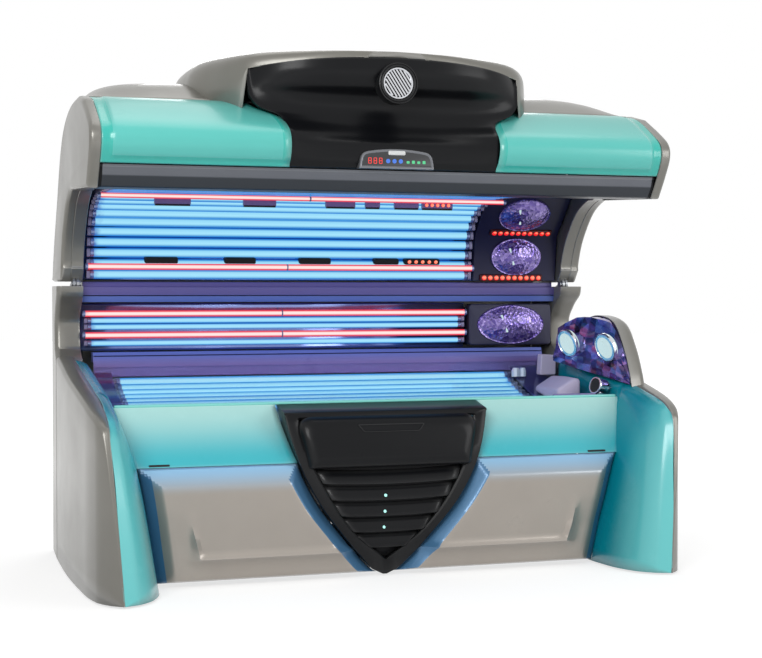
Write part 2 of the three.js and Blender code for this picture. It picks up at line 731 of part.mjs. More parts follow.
function sideLamps(heights, radius, y) {
  const [x0, x1] = [LAMP_LEFT, LAMP_RIGHT];
  const tubes = heights.map((z) => bar([x0, y, z], [x1, y, z], radius, 10));
  const [low, high] = [Math.min(...heights) - radius - 2, Math.max(...heights) + radius + 2];
  const blocks = [x0, x1 - HOLDER].map((x) => block(x, x + HOLDER, y - 2, y + radius + 4, low, high));
  return join(...blocks, ...tubes);
}

/** Lamps at both ends of a line, whose end rails stand outside the blocks of the bank behind them. */
function redLamps(line, x0, x1) {
  const ends = [line[0], line.at(-1)];
  const tubes = ends.map(([y, z]) => bar([x0, y, z], [x1, y, z], RED_LAMP_RADIUS, 10));
  const rail = band(offsetLine(line, -RED_LAMP_RADIUS / 2), RED_LAMP_RADIUS);
  const rails = [x0, x1 - HOLDER / 2].map((x) => prismX(rail, x, x + HOLDER / 2));
  return join(...tubes, ...rails);
}

const sideWall = [
  [WALL_Y, WALL_LOW],
  [WALL_Y + 4, (WALL_LOW + WALL_TOP) / 2],
  [WALL_Y - 7, WALL_TOP],
];
const upperTrim = [
  [WALL_Y - 68, WALL_TOP + 6],
  [WALL_Y - 78, SEAM_HEIGHT - 4],
  [WALL_Y + 10, SEAM_HEIGHT - 4],
  [WALL_Y + 10, WALL_TOP + 6],
];
const lowerTrim = [
  [WALL_Y - 56, WALL_LOW - 48],
  [WALL_Y - 42, WALL_LOW - 6],
  [WALL_Y + 6, WALL_LOW - 6],
  [WALL_Y + 6, WALL_LOW - 48],
];
const FACIAL_LEFT = LAMP_RIGHT + 18;

function sideFacialLamp() {
  const [x0, x1] = [FACIAL_LEFT, CHEEK_IN - 6];
  const [z0, z1] = [WALL_LOW + 8, WALL_TOP - 6];
  const radius = (z1 - z0) / 2 - 2 * SHELL;
  const [xm, zm] = [(x0 + x1) / 2, (z0 + z1) / 2];
  const front = WALL_Y - 58;
  const bowl = new THREE.LatheGeometry(
    [
      [0, 12],
      [radius * 0.5, 18],
      [radius, 60],
      [0, 60],
    ].map(([r, d]) => new THREE.Vector2(r, d)),
    16,
  );
  bowl.rotateX(Math.PI).translate(0, 60, 0);
  return cut(block(x0, x1, front, WALL_Y - 2, z0, z1), bowl.translate(xm, front - 10, zm));
}

function backCover() {
  const inner = BED_REAR - SHEET;
  const fold = 24;
  const profile = [
    [BED_REAR, PAN_BOTTOM + PAN_HEIGHT + FIT],
    [BED_REAR, SEAM_HEIGHT - 2],
    [BED_REAR - fold, SEAM_HEIGHT - 2],
    [BED_REAR - fold, SEAM_HEIGHT - 2 - SHEET],
    [inner, SEAM_HEIGHT - 2 - SHEET],
    [inner, PAN_BOTTOM + PAN_HEIGHT + FIT],
  ];
  return prismX(profile, -CHEEK_IN, CHEEK_IN);
}

const redWall = SIDE_RED_HEIGHTS.map((z) => [WALL_Y - 44, z]);
add(base, "side_reflector", prismX(band(sideWall, -SHEET), -CHEEK_IN, FACIAL_LEFT - 8), MIRROR);
add(base, "side_blue_lamps", sideLamps(SIDE_UV_HEIGHTS, SIDE_LAMP_RADIUS, WALL_Y - 26), LAMP_BLUE);
add(base, "side_red_lamps", redLamps(redWall, LAMP_LEFT - RED_END, LAMP_RIGHT + RED_END), LAMP_RED);
add(base, "side_trim_upper", prismX(upperTrim, -CHEEK_IN, CHEEK_IN), LILAC);
add(base, "side_trim_lower", prismX(lowerTrim, -BENCH_HALF, BENCH_HALF), LILAC);
add(base, "side_facial_lamp", sideFacialLamp(), PURPLE);
add(base, "back_cover", backCover(), SILVER);

// Shoulder pod, headrest and air outlet at the head end

const POD_WIDTH = 76; // housing, from the lens to its outer face
const POD_ROUND = 34;
const POD_SETBACK = 27; // its outer face stands this far inside the end cover's bow
const POD_OUTER = LOWER_HALF - POD_SETBACK;
const POD_INNER = POD_OUTER - POD_WIDTH;
const POD_WALL = 4;
const podEdge = smooth(
  [
    [-318, 735],
    [-295, 800],
    [-238, 906],
    [-145, 1005],
    [14, 1032],
    [150, 1000],
    [225, 920],
    [255, 850],
  ],
  14,
);
const podLoop = [...podEdge, [255, 690], [-318, 690]];
const armFill = prismX(sideLoop.map(([y, z]) => [y, z + FIT]), LINER_FLOOR - 50, LOWER_HALF + 50);

function podHousing() {
  const outside = rounded(podLoop, POD_INNER, POD_OUTER, POD_ROUND);
  const hollow = rounded(inset(podLoop, POD_WALL), POD_INNER - SHELL, POD_OUTER - POD_WALL, POD_ROUND - POD_WALL);
  return cut(outside, hollow, armFill);
}

const LENS_DEPTH = 142; // from the housing to the lens's back edge
const LENS_BACK = [POD_INNER - LENS_DEPTH, 200];
const LENS_FRONT = [POD_INNER - FIT, -300];
const SHOULDER_RADIUS = 62;
const SHOULDER_DEPTH = 22;
const lensRun = [LENS_FRONT[0] - LENS_BACK[0], LENS_FRONT[1] - LENS_BACK[1]];
const lensNormal = new THREE.Vector3(lensRun[1], -lensRun[0], 0).normalize();

/** A point on the lens face, at a share of the way from its back to its front edge. */
function lensPoint(share, z, out) {
  const x = LENS_BACK[0] + lensRun[0] * share + lensNormal.x * out;
  const y = LENS_BACK[1] + lensRun[1] * share + lensNormal.y * out;
  return [x, y, z];
}

const SHOULDER_LAMPS = { inner: [0.27, 912], outer: [0.66, 903] };
const shoulderLamp = ([share, z], grow) => {
  const [back, front] = [-SHOULDER_DEPTH - grow, 4 + grow].map((out) => lensPoint(share, z, out));
  return bar(back, front, SHOULDER_RADIUS + grow, 20);
};

function podLens() {
  const plan = [
    LENS_FRONT,
    [LENS_BACK[0] + lensRun[0] * 0.45, LENS_BACK[1] + lensRun[1] * 0.5],
    LENS_BACK,
    [LENS_FRONT[0], LENS_BACK[1] + 35],
  ];
  const side = prismX(inset(podLoop, 6), LENS_BACK[0] - SHELL, LENS_FRONT[0]);
  const dome = common(side, prismZ(plan, 0, SEAM_HEIGHT));
  const pockets = Object.values(SHOULDER_LAMPS).map((lamp) => shoulderLamp(lamp, FIT));
  return cut(dome, armFill, ...pockets);
}

const HEADREST_LENGTH = 110;
const HEADREST_END = 55; // from the headrest to the end of the sheet

function headrest() {
  const x1 = BENCH_HALF - HEADREST_END;
  const x0 = x1 - HEADREST_LENGTH;
  const low = FASCIA_TOP[1] - 60;
  const wedge = prismY(
    [
      [x0, low],
      [x1, low],
      [x1, FASCIA_TOP[1] + 66],
      [x1 - 30, FASCIA_TOP[1] + 72],
      [x0, FASCIA_TOP[1] + 24],
    ],
    -80,
    170,
  );
  const sheetTop = offsetLine(benchLine, BENCH_SHEET + FIT);
  const below = [...sheetTop, [sheetTop.at(-1)[0], 0], [sheetTop[0][0], 0]];
  return cut(wedge, prismX(below, -BENCH_HALF, LOWER_HALF));
}

const JET_RADIUS = 24;
const JET_EDGE = 3; // from the outlet to the end of the sheet
const JET = [BENCH_HALF - JET_EDGE - JET_RADIUS, -190];

function airJet() {
  const sheetTop = offsetLine(benchLine, BENCH_SHEET);
  const edges = [-1, 1].map((side) => between(sheetTop, JET[1] + side * JET_RADIUS));
  const foot = Math.max(...edges) + RUNNING;
  const body = bar([...JET, foot], [...JET, foot + 92], JET_RADIUS, 16);
  const slant = new THREE.BoxGeometry(4 * JET_RADIUS, 4 * JET_RADIUS, 60).rotateX(0.6);
  return cut(body, slant.translate(JET[0], JET[1], foot + 112));
}

add(base, "pod_housing", podHousing(), SILVER);
add(base, "pod_lens", podLens(), PURPLE);
for (const [place, lamp] of Object.entries(SHOULDER_LAMPS)) {
  add(base, "shoulder_lamp_" + place, shoulderLamp(lamp, 0), LAMP_BLUE);
}
add(base, "headrest", headrest(), LILAC);
add(base, "air_outlet", airJet(), CHROME);

// Hinge posts, pins, gas springs

const rodY = HINGE_Y + LEVER_REACH;
const leverDrop = Math.tan((LEVER_ANGLE * Math.PI) / 180) * LEVER_REACH;
const rodPinZ = HINGE_Z + leverDrop;
const ARM_X = POST_X + POST_THICK + 4;
const PIN_END = ARM_X + ARM_THICK + 4;

function hingePost() {
  const foot = PAN_FLOOR + FIT;
  const rear = rodY - CYLINDER_RADIUS - 16;
  const waist = COLUMN_FRONT + 138; // clear of the column's drawn-in front
  const plate = [
    [COLUMN_START + 60, foot],
    [rear, foot],
    [rear, SEAM_HEIGHT - 150],
    [HINGE_Y + HUB_RADIUS, HINGE_Z],
    [HINGE_Y - HUB_RADIUS, HINGE_Z],
    [HINGE_Y, SEAM_HEIGHT - 40],
    [waist - 5, SEAM_HEIGHT - 120],
    [waist, SEAM_HEIGHT - 290],
    [COLUMN_START + 60, SEAM_HEIGHT - 380],
  ];
  const [x0, x1] = [POST_X, POST_X + POST_THICK];
  const eye = bar([x0, HINGE_Y, HINGE_Z], [x1, HINGE_Y, HINGE_Z], HUB_RADIUS, 24);
  const bore = bar([x0 - 1, HINGE_Y, HINGE_Z], [x1 + 1, HINGE_Y, HINGE_Z], PIN_RADIUS + FIT, 24);
  return cut(join(prismX(plate, x0, x1), eye), bore);
}

function hingePin() {
  const shaft = bar([POST_X - 3, HINGE_Y, HINGE_Z], [PIN_END, HINGE_Y, HINGE_Z], PIN_RADIUS, 24);
  const head = bar([POST_X - 8, HINGE_Y, HINGE_Z], [POST_X - FIT, HINGE_Y, HINGE_Z], PIN_RADIUS + 6, 24);
  return join(shaft, head);
}

function springCylinder() {
  const foot = PAN_FLOOR + FIT;
  const tube = bar([ROD_X, rodY, foot], [ROD_X, rodY, CYLINDER_TOP], CYLINDER_RADIUS, 16);
  const bore = bar([ROD_X, rodY, foot + 60], [ROD_X, rodY, CYLINDER_TOP + 1], ROD_RADIUS + RUNNING, 16);
  return cut(tube, bore);
}

function springRod() {
  const rod = bar([ROD_X, rodY, ROD_FOOT], [ROD_X, rodY, rodPinZ + 14], ROD_RADIUS, 16);
  const pin = bar([ROD_X - 4, rodY, rodPinZ], [PIN_END, rodY, rodPinZ], ROD_PIN_RADIUS, 16);
  return join(rod, pin);
}

addPair(base, "hinge_post", hingePost(), STEEL);
addPair(base, "hinge_pin", hingePin(), STEEL);
addPair(base, "spring_cylinder", springCylinder(), BLACK);
addPair(base, "spring_rod", springRod(), CHROME);

// Cooling fan and ballasts in the base

function fanHousing() {
  const half = FAN_RADIUS + 20;
  const [front, rear] = [FAN_Y - FAN_DEPTH / 2, FAN_Y + FAN_DEPTH / 2];
  const frame = block(-half, half, front, rear, PAN_FLOOR + FIT, FAN_HEIGHT + half);
  const bore = bar([0, front - 1, FAN_HEIGHT], [0, rear + 1, FAN_HEIGHT], FAN_RADIUS + 4, 32);
  const strut = block(-half + 2, half - 2, rear - 8, rear, FAN_HEIGHT - 12, FAN_HEIGHT + 12);
  return join(cut(frame, bore), strut);
}

function fanRotor() {
  const rear = FAN_Y + FAN_DEPTH / 2 - 8 - RUNNING;
  const front = FAN_Y - FAN_DEPTH / 2 + 6;
  const hub = bar([0, front, FAN_HEIGHT], [0, rear, FAN_HEIGHT], 38, 20);
  const blades = Array.from({ length: FAN_BLADES }, (_, i) => {
    const reach = FAN_RADIUS - 30;
    const blade = new THREE.BoxGeometry(52, 4, reach).rotateZ(0.5).translate(0, 0, 30 + reach / 2);
    return blade.rotateY((i / FAN_BLADES) * 2 * Math.PI).translate(0, (front + rear) / 2, FAN_HEIGHT);
  });
  return join(hub, ...blades);
}

add(base, "fan_housing", fanHousing(), BLACK);
add(base, "fan_rotor", fanRotor(), BLACK);
const BALLAST_LENGTH = 580;
const BALLAST_END = 240; // from the pan's foot end to the tray
const ballastLeft = BALLAST_END - PAN_HALF;
const ballast = block(ballastLeft, ballastLeft + BALLAST_LENGTH, 60, 420, PAN_FLOOR + FIT, PAN_FLOOR + 92);
add(base, "ballast_tray", ballast, GALVANISED);

// Canopy. Heights below are above the canopy's lower edge.

const HINGE_H = HINGE_Z - CANOPY_BOTTOM;
const capBack = smooth(
  [
    [BED_REAR - 10, 0],
    [625, 150],
    [500, 347],
    [383, 532],
    [249, 640],
    [46, 698],
    [-190, 709],
  ],
  9,
);
const capNose = smooth(
  [
    [-300, 684],
    [-421, 619],
    [-500, 565],
    [-512, 505],
    [-474, RAIL_TOP],
    [-415, RAIL_BOTTOM - 4],
  ],
  8,
);
const capInside = smooth(
  [
    [40, 362],
    [96, 358],
    [206, 305],
    [311, 189],
    [COLUMN_FRONT - 4, 88],
    [COLUMN_FRONT - 2, 54],
  ],
  7,
);
const capLoop = [...capBack, ...capNose, ...capInside, [HINGE_Y, 0]];
const capHollow = inset(capLoop, SHELL).map(([y, h]) => [y, h < 2 * SHELL ? -SHELL : h]);

function canopyEnd() {
  const cheekOut = block(CHEEK_HALF, RIM_X + 1, CHEEK_FRONT, BED_REAR, -1, CHEEK_TOP);
  const [inX, inFront, inTop] = [CHEEK_HALF + SHELL, CHEEK_FRONT + SHELL, CHEEK_TOP - SHELL];
  const cheekIn = block(inX, RIM_X + 2, inFront, BED_REAR, -2 * SHELL, inTop);
  const cheek = common(prismX(capLoop, CHEEK_HALF - 1, RIM_X + 2), cheekOut);
  const cheekHollow = common(prismX(capHollow, CHEEK_HALF, RIM_X + 3), cheekIn);
  const rim = rounded(capLoop, RIM_X, CANOPY_HALF, CAP_ROUND);
  const rimHollow = rounded(capHollow, RIM_X - 1, CANOPY_HALF - SHELL, CAP_ROUND - SHELL);
  const hubRoom = bar(
    [CHEEK_HALF + SHELL, HINGE_Y, HINGE_H],
    [CANOPY_HALF - SHELL, HINGE_Y, HINGE_H],
    HUB_RADIUS + 2 * RUNNING,
    16,
  );
  return cut(join(rim, cheek), rimHollow, cheekHollow, hubRoom);
}

/** The canopy arm: an eye on the hinge pin, a strut into the cheek and a slotted lever for the spring. */
function canopyArm() {
  const [x0, x1] = [ARM_X, ARM_X + ARM_THICK];
  const turn = (LEVER_ANGLE * Math.PI) / 180;
  const along = (reach) => [HINGE_Y + reach * Math.cos(turn), HINGE_H + reach * Math.sin(turn)];
  const disc = ([y, h], radius, grow) => bar([x0 - grow, y, h], [x1 + grow, y, h], radius, 16);
  const far = LEVER_REACH / Math.cos(turn);
  const [slotNear, slotFar] = [along(LEVER_REACH - SLOT_PLAY), along(far + SLOT_PLAY)];
  const slotHalf = ROD_PIN_RADIUS + SLOT_PLAY;
  const elbow = [450, 200];
  const tip = [385, 400];
  const pivot = [HINGE_Y, HINGE_H];
  const plate = join(
    disc(pivot, HUB_RADIUS, 0),
    strip(pivot, along(far + slotHalf), LEVER_HALF_WIDTH, x0, x1),
    disc(along(far + slotHalf), LEVER_HALF_WIDTH, 0),
    strip([HINGE_Y + LEVER_HALF_WIDTH, HINGE_H], elbow, LEVER_HALF_WIDTH, x0, x1),
    disc(elbow, LEVER_HALF_WIDTH, 0),
    strip(elbow, tip, LEVER_HALF_WIDTH, x0, x1),
  );
  return cut(
    plate,
    disc(pivot, PIN_RADIUS + RUNNING, 1),
    strip(slotNear, slotFar, slotHalf, x0 - 1, x1 + 1),
    disc(slotNear, slotHalf, 1),
    disc(slotFar, slotHalf, 1),
  );
}

addPair(canopy, "canopy_end", canopyEnd(), SILVER);
addPair(canopy, "canopy_arm", canopyArm(), STEEL);

// Roof and hood

const roofHalf = RIM_X - FIT;
const roofFront = capBack.at(-1)[0];

function roofLine(x) {
  const swell = Math.sqrt(1 - Math.min(1, Math.abs(x) / roofHalf) ** 10);
  return capBack.map(([y, h], i) => {
    const share = THREE.MathUtils.clamp((y - roofFront) / 668, 0, 1);
    const foot = i === 0 ? 2 : 0;
    return [x, y, h + foot + ROOF_LIFT * swell * Math.sin(Math.PI * share)];
  });
}

const roofStations = [1, 0.985, 0.95, 0.89, 0.78, 0.5, 0].map((share) => share * roofHalf);
const roofXs = [...roofStations.map((x) => -x), ...roofStations.slice(0, -1).reverse()];

function roofRing(x, close) {
  const line = roofLine(x);
  const under = close(line.map(([, y, h]) => [y, h])).map(([y, h]) => [x, y, h]);
  return [...line, ...under.reverse()];
}

function roof() {
  const shell = loft(roofXs.map((x) => roofRing(x, (line) => offsetLine(line, SHELL))));
  const cheekRoom = (side) => {
    const [x0, x1] = [CHEEK_HALF - FIT, RIM_X + 1].map((x) => x * side).sort((a, b) => a - b);
    return block(x0, x1, CHEEK_FRONT - SHELL, BED_REAR + SHELL, -SHELL, CHEEK_TOP + FIT);
  };
  return cut(shell, cheekRoom(1), cheekRoom(-1));
}

const consoleSide = [
  [RAIL_TOP + 2, CONSOLE_LOW_HALF],
  [565, CONSOLE_LOW_HALF + 3],
  [632, CONSOLE_LOW_HALF + 20],
  [672, CONSOLE_HIGH_HALF - 40],
  [720, CONSOLE_HIGH_HALF - 8],
  [CONSOLE_TOP - CONSOLE_ARCH, CONSOLE_HIGH_HALF],
];
const consoleHalf = (h) => between(consoleSide, h);

/** The console's outline in the front view, grown by a joint's width. */
function consoleLoop(grow) {
  const right = consoleSide.map(([h, half]) => [half + grow, h]);
  const arch = [0.5, 0, -0.5].map((share) => [
    share * CONSOLE_HIGH_HALF,
    CONSOLE_TOP - CONSOLE_ARCH * share ** 2 + grow,
  ]);
  right.at(-1)[1] += grow;
  const left = right.map(([x, h]) => [-x, h]).reverse();
  return [...right, ...arch, ...left];
}

const hoodSections = [
  [-500, 120, HOOD_TOP - 12],
  [-480, 250, HOOD_TOP - 12],
  [-440, 390, HOOD_TOP - 12],
  [-345, CONSOLE_HIGH_HALF + 15, HOOD_TOP - 10],
  [-200, CONSOLE_HIGH_HALF + 98, HOOD_TOP - 4],
  [0, CONSOLE_HIGH_HALF + 170, HOOD_TOP],
  [200, CONSOLE_HIGH_HALF + 180, HOOD_TOP - 8],
  [330, CONSOLE_HIGH_HALF + 145, HOOD_TOP - 50],
  [400, CONSOLE_HIGH_HALF + 75, HOOD_TOP - 165],
  [470, CONSOLE_HIGH_HALF - 60, HOOD_TOP - 345],
];

const hoodFoot = [
  [-500, HOOD_TOP - 100],
  [-345, HOOD_TOP - 250],
  [-200, HOOD_TOP - 300],
  [0, HOOD_TOP - 520],
];
const HOOD_CROWN = 26; // drop of the hood's top from its middle to its sides
const HOOD_SQUARE = 0.2; // power that squares the hood's shoulders

function hoodSolid(wall) {
  const steps = 10;
  const rings = hoodSections.map(([y, half, top], row) => {
    const foot = between(hoodFoot, y);
    const arch = Array.from({ length: steps + 1 }, (_, i) => {
      const angle = (i / steps) * Math.PI;
      const square = (value) => Math.sign(value) * Math.abs(value) ** HOOD_SQUARE;
      const crown = HOOD_CROWN * Math.cos(angle) ** 2;
      const h = foot + (top - wall - crown - foot) * square(Math.sin(angle));
      const sunk = i % steps ? 0 : 4 * wall;
      return [(half - wall) * square(Math.cos(angle)), y, h - sunk];
    });
    const drawn = row === 0 ? wall : row === hoodSections.length - 1 ? -wall : 0;
    return arch.map(([x, yy, h]) => [x, yy + drawn, h]);
  });
  return loft(rings);
}

function hood() {
  const below = [[BED_REAR - 200, -40], [roofFront, 200]];
  const roofFill = loft(roofXs.map((x) => roofRing(x, () => below)));
  const noseFill = prismX(inset(capLoop, -FIT), -roofHalf, roofHalf);
  const consoleRoom = prismY(consoleLoop(1), -LOWER_HALF, -280);
  return cut(hoodSolid(0), hoodSolid(SHELL), roofFill.translate(0, 0, FIT), noseFill, consoleRoom);
}

add(canopy, "canopy_roof", roof(), SILVER);
add(canopy, "canopy_hood", hood(), SILVER);

// Teal covers, console and front rail

const coverLine = smooth(
  [
    [roofFront - 2, 706],
    [-300, 681],
    [-421, 616],
    [-496, 563],
    [-508, 505],
    [-471, RAIL_TOP + 2],
  ],
  12,
);

function canopyCover() {
  const skin = prismX(band(coverLine, SHELL), CONSOLE_LOW_HALF - 100, RIM_X - FIT);
  return cut(skin, prismY(consoleLoop(FIT), -LOWER_HALF, 0));
}

const consoleRim = [
  [RAIL_TOP, -466],
  [470, -488],
  [520, -500],
  [565, -492],
  [620, -432],
  [670, -396],
  [720, -376],
  [820, -352],
  [CONSOLE_TOP + 5, -342],
];
const consoleMiddle = [
  [RAIL_TOP, -466],
  [470, -486],
  [520, -488],
  [565, -455],
  [620, -418],
  [670, -404],
  [720, -428],
  [760, -474],
  [820, -500],
  [CONSOLE_TOP + 5, -498],
];

/** Depth of the dished console face. */
function consoleFace(x, h) {
  const share = Math.min(1, Math.abs(x) / (consoleHalf(h) - 12));
  const [rim, middle] = [between(consoleRim, h), between(consoleMiddle, h)];
  return middle + (rim - middle) * share ** 4;
}

const displayLoop = (grow) => {
  const [low, high] = [RAIL_TOP + 3 - grow, RAIL_TOP + 3 + DISPLAY_HEIGHT + grow];
  const half = DISPLAY_HALF + grow;
  return [
    [-half, low],
    [half, low],
    [half - 14, high - 22],
    [half - 62, high - 6],
    [0, high],
    [62 - half, high - 6],
    [14 - half, high - 22],
  ];
};
const nozzleBar = (radius, front, back) =>
  bar([0, front, NOZZLE_HEIGHT], [0, back, NOZZLE_HEIGHT], radius, 24);

function canopyConsole() {
  const shares = [-1, -0.92, -0.8, -0.6, -0.3, 0, 0.3, 0.6, 0.8, 0.92, 1];
  const heights = consoleMiddle.map(([h]) => h);
  const rings = shares.map((share) => {
    const x = share * CONSOLE_HIGH_HALF;
    const face = heights.map((h) => [x, consoleFace(x, h), h]);
    const back = face.map(([, y, h]) => [x, y + CONSOLE_WALL, h]).reverse();
    return [...face, ...back];
  });
  const bezel = nozzleBar(NOZZLE_RADIUS + BEZEL_WIDTH, NOZZLE_FACE - 4, NOZZLE_FACE + NOZZLE_DEPTH + 16);
  return cut(
    join(common(loft(rings), prismY(consoleLoop(0), -LOWER_HALF, 0)), bezel),
    prismY(displayLoop(FIT), -LOWER_HALF, 0),
    nozzleBar(NOZZLE_RADIUS + RUNNING, -LOWER_HALF, 0),
  );
}

const buttonHeight = RAIL_TOP + 3 + DISPLAY_HEIGHT - 16;
const buttonFront = DISPLAY_FACE - BUTTON_PROUD;

function displayPanel() {
  const room = block(
    -BUTTON_HALF - FIT,
    BUTTON_HALF + FIT,
    DISPLAY_FACE - 1,
    buttonFront + BUTTON_DEPTH + BUTTON_TRAVEL + FIT,
    buttonHeight - BUTTON_TALL / 2 - FIT,
    buttonHeight + BUTTON_TALL / 2 + FIT,
  );
  return cut(prismY(displayLoop(0), DISPLAY_FACE, DISPLAY_BACK), room);
}

function startButton() {
  const [low, high] = [buttonHeight - BUTTON_TALL / 2, buttonHeight + BUTTON_TALL / 2];
  return block(-BUTTON_HALF, BUTTON_HALF, buttonFront, buttonFront + BUTTON_DEPTH, low, high);
}

/** The turning nozzle: a disc with slanted slots between its slats. */
function airNozzle() {
  const slotPitch = (2 * (NOZZLE_RADIUS - 12)) / NOZZLE_SLOTS;
  const slots = Array.from({ length: NOZZLE_SLOTS }, (_, i) => {
    const off = (i - (NOZZLE_SLOTS - 1) / 2) * slotPitch;
    const half = Math.sqrt((NOZZLE_RADIUS - 8) ** 2 - off ** 2);
    const tall = slotPitch * 0.3;
    const slot = block(-half, half, -NOZZLE_DEPTH, NOZZLE_DEPTH, off - tall, off + tall);
    return slot.rotateY(-Math.PI / 4).translate(0, NOZZLE_FACE + NOZZLE_DEPTH / 2, NOZZLE_HEIGHT);
  });
  return cut(nozzleBar(NOZZLE_RADIUS, NOZZLE_FACE, NOZZLE_FACE + NOZZLE_DEPTH), ...slots);
}

function frontRail() {
  const profile = [
    [-455, RAIL_TOP],
    [-440, (RAIL_TOP + RAIL_BOTTOM) / 2],
    [-408, RAIL_BOTTOM],
    [-288, RAIL_BOTTOM],
    [-300, RAIL_TOP],
  ];
  const half = RIM_X - FIT;
  const bore = prismX(inset(profile, RAIL_WALL), -half - 1, half + 1);
  return cut(prismX(profile, -half, half), bore);
}

addPair(canopy, "canopy_cover", canopyCover(), TEAL);
add(canopy, "canopy_console", canopyConsole(), BLACK);
add(canopy, "display_panel", displayPanel(), BLACK);
add(canopy, "start_button", startButton(), CHROME);
add(canopy, "air_nozzle", airNozzle(), CHROME);
add(canopy, "front_rail", frontRail(), GRAPHITE);

// Canopy lamps and reflector

const mirrorLine = smooth(
  [
    [446, 6],
    [436, 120],
    [404, 240],
    [330, 330],
    [200, 388],
    [0, 408],
    [-278, 404],
  ],
  18,
);
const canopyLampLine = offsetLine(mirrorLine, LAMP_STAND_OFF);
const canopyLampCount = Math.floor((lineLength(canopyLampLine) - 2 * LAMP_RADIUS) / LAMP_PITCH) + 1;
const redLine = offsetLine(mirrorLine, RED_STAND_OFF);
const RED_LOW = 62;
const RED_HIGH = 600;
const RED_STEPS = 12;

function canopyRedLamps() {
  const reach = (i) => RED_LOW + ((RED_HIGH - RED_LOW) * i) / RED_STEPS;
  const line = Array.from({ length: RED_STEPS + 1 }, (_, i) => pointAlong(redLine, reach(i)));
  return redLamps(line, LAMP_LEFT - RED_END, LAMP_RIGHT + RED_END);
}

const facialLine = [
  [440, 8],
  [415, 222],
  [250, 400],
];
const FACIAL_THICK = 25;
const FACIAL_LAMPS = [
  { radius: 95, share: 0.5 },
  { radius: 88, share: 0.6 },
];

function facialLamp(index, grow) {
  const [[y0, h0], [y1, h1]] = [facialLine[index], facialLine[index + 1]];
  const { radius, share } = FACIAL_LAMPS[index];
  const [ny, nh] = unitNormal([y0, h0], [y1, h1]);
  const xm = (FACIAL_LEFT + CHEEK_IN) / 2;
  const place = (out) => [xm, y0 + (y1 - y0) * share + ny * out, h0 + (h1 - h0) * share + nh * out];
  return bar(place(2 - grow), place(FACIAL_THICK - 3 + grow), radius + Math.min(grow, FIT), 24);
}

function facialFrame() {
  const frame = prismX(band(facialLine, FACIAL_THICK), FACIAL_LEFT, CHEEK_IN - 4);
  return cut(frame, facialLamp(0, 2 * FACIAL_THICK), facialLamp(1, 2 * FACIAL_THICK));
}

const canopyMirror = prismX(band(mirrorLine, -SHEET), -CHEEK_IN + 2, FACIAL_LEFT - 6);
const canopyLamps = lampBank(canopyLampLine, canopyLampCount, LAMP_LEFT, LAMP_RIGHT);
add(canopy, "canopy_reflector", canopyMirror, MIRROR);
add(canopy, "canopy_blue_lamps", canopyLamps, LAMP_BLUE);
add(canopy, "canopy_red_lamps", canopyRedLamps(), LAMP_RED);
add(canopy, "facial_frame", facialFrame(), BLACK);
add(canopy, "facial_lamp_lower", facialLamp(0, 0), PURPLE);
add(canopy, "facial_lamp_upper", facialLamp(1, 0), PURPLE);

export default bed;
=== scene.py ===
"""Looks of a clamshell tanning bed: shells, lamps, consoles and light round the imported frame.

Metres, in the frame's own axes: X along the bed, -Y to the front, +Z up.
"""
from __future__ import annotations

import json
import logging
import math
import random
from dataclasses import dataclass
from enum import Enum
from typing import Callable, Sequence

import bmesh
import bpy
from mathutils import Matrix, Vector

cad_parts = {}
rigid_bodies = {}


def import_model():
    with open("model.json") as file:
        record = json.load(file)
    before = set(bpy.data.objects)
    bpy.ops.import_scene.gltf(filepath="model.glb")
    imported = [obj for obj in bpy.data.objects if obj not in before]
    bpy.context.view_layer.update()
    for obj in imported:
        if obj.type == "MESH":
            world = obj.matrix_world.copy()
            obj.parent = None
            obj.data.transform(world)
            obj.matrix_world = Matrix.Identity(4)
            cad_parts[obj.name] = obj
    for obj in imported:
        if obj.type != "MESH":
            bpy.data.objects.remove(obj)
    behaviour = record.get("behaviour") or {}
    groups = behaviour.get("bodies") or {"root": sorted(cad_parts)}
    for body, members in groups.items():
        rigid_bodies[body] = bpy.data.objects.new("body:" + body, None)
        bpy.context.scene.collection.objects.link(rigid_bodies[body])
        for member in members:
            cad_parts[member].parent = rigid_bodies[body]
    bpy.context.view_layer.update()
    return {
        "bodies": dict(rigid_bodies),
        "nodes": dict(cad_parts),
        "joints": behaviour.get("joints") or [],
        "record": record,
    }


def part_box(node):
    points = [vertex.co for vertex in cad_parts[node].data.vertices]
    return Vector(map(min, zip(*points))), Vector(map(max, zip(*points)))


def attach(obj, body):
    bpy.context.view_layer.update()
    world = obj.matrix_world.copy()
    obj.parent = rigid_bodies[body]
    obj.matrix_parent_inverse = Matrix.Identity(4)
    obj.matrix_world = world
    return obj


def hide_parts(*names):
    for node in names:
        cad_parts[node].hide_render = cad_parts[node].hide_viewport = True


LOG = logging.getLogger("tanning_bed")
Point = tuple[float, float]
Line = list[Point]
Spot = tuple[float, float, float]
Rows = Sequence[Sequence[Spot | Vector]]
Colour = tuple[int, int, int]
Feeds = dict[str | int, object]

CANOPY_BOTTOM = 1.18  # canopy heights are measured from here
RIGHT, LEFT = 1, -1
SIDE_NAMES = {RIGHT: "right", LEFT: "left"}
PURE_WHITE = (1.0, 1.0, 1.0, 1.0)


# Curves

def spline(points: Sequence[Point], steps: int) -> Line:
    """Points on a smooth curve through the given ones.

    Args:
        points: the points it passes through.
        steps: number of pieces that the curve is cut into.

    Returns:
        The curve as steps + 1 points.
    """
    last = len(points) - 1
    curve = []
    for i in range(steps + 1):
        place = last * i / steps
        k = min(int(place), last - 1)
        t = place - k
        near = [points[min(max(k + j, 0), last)] for j in (-1, 0, 1, 2)]
        curve.append(tuple(_blend(t, *(p[axis] for p in near)) for axis in (0, 1)))
    return curve


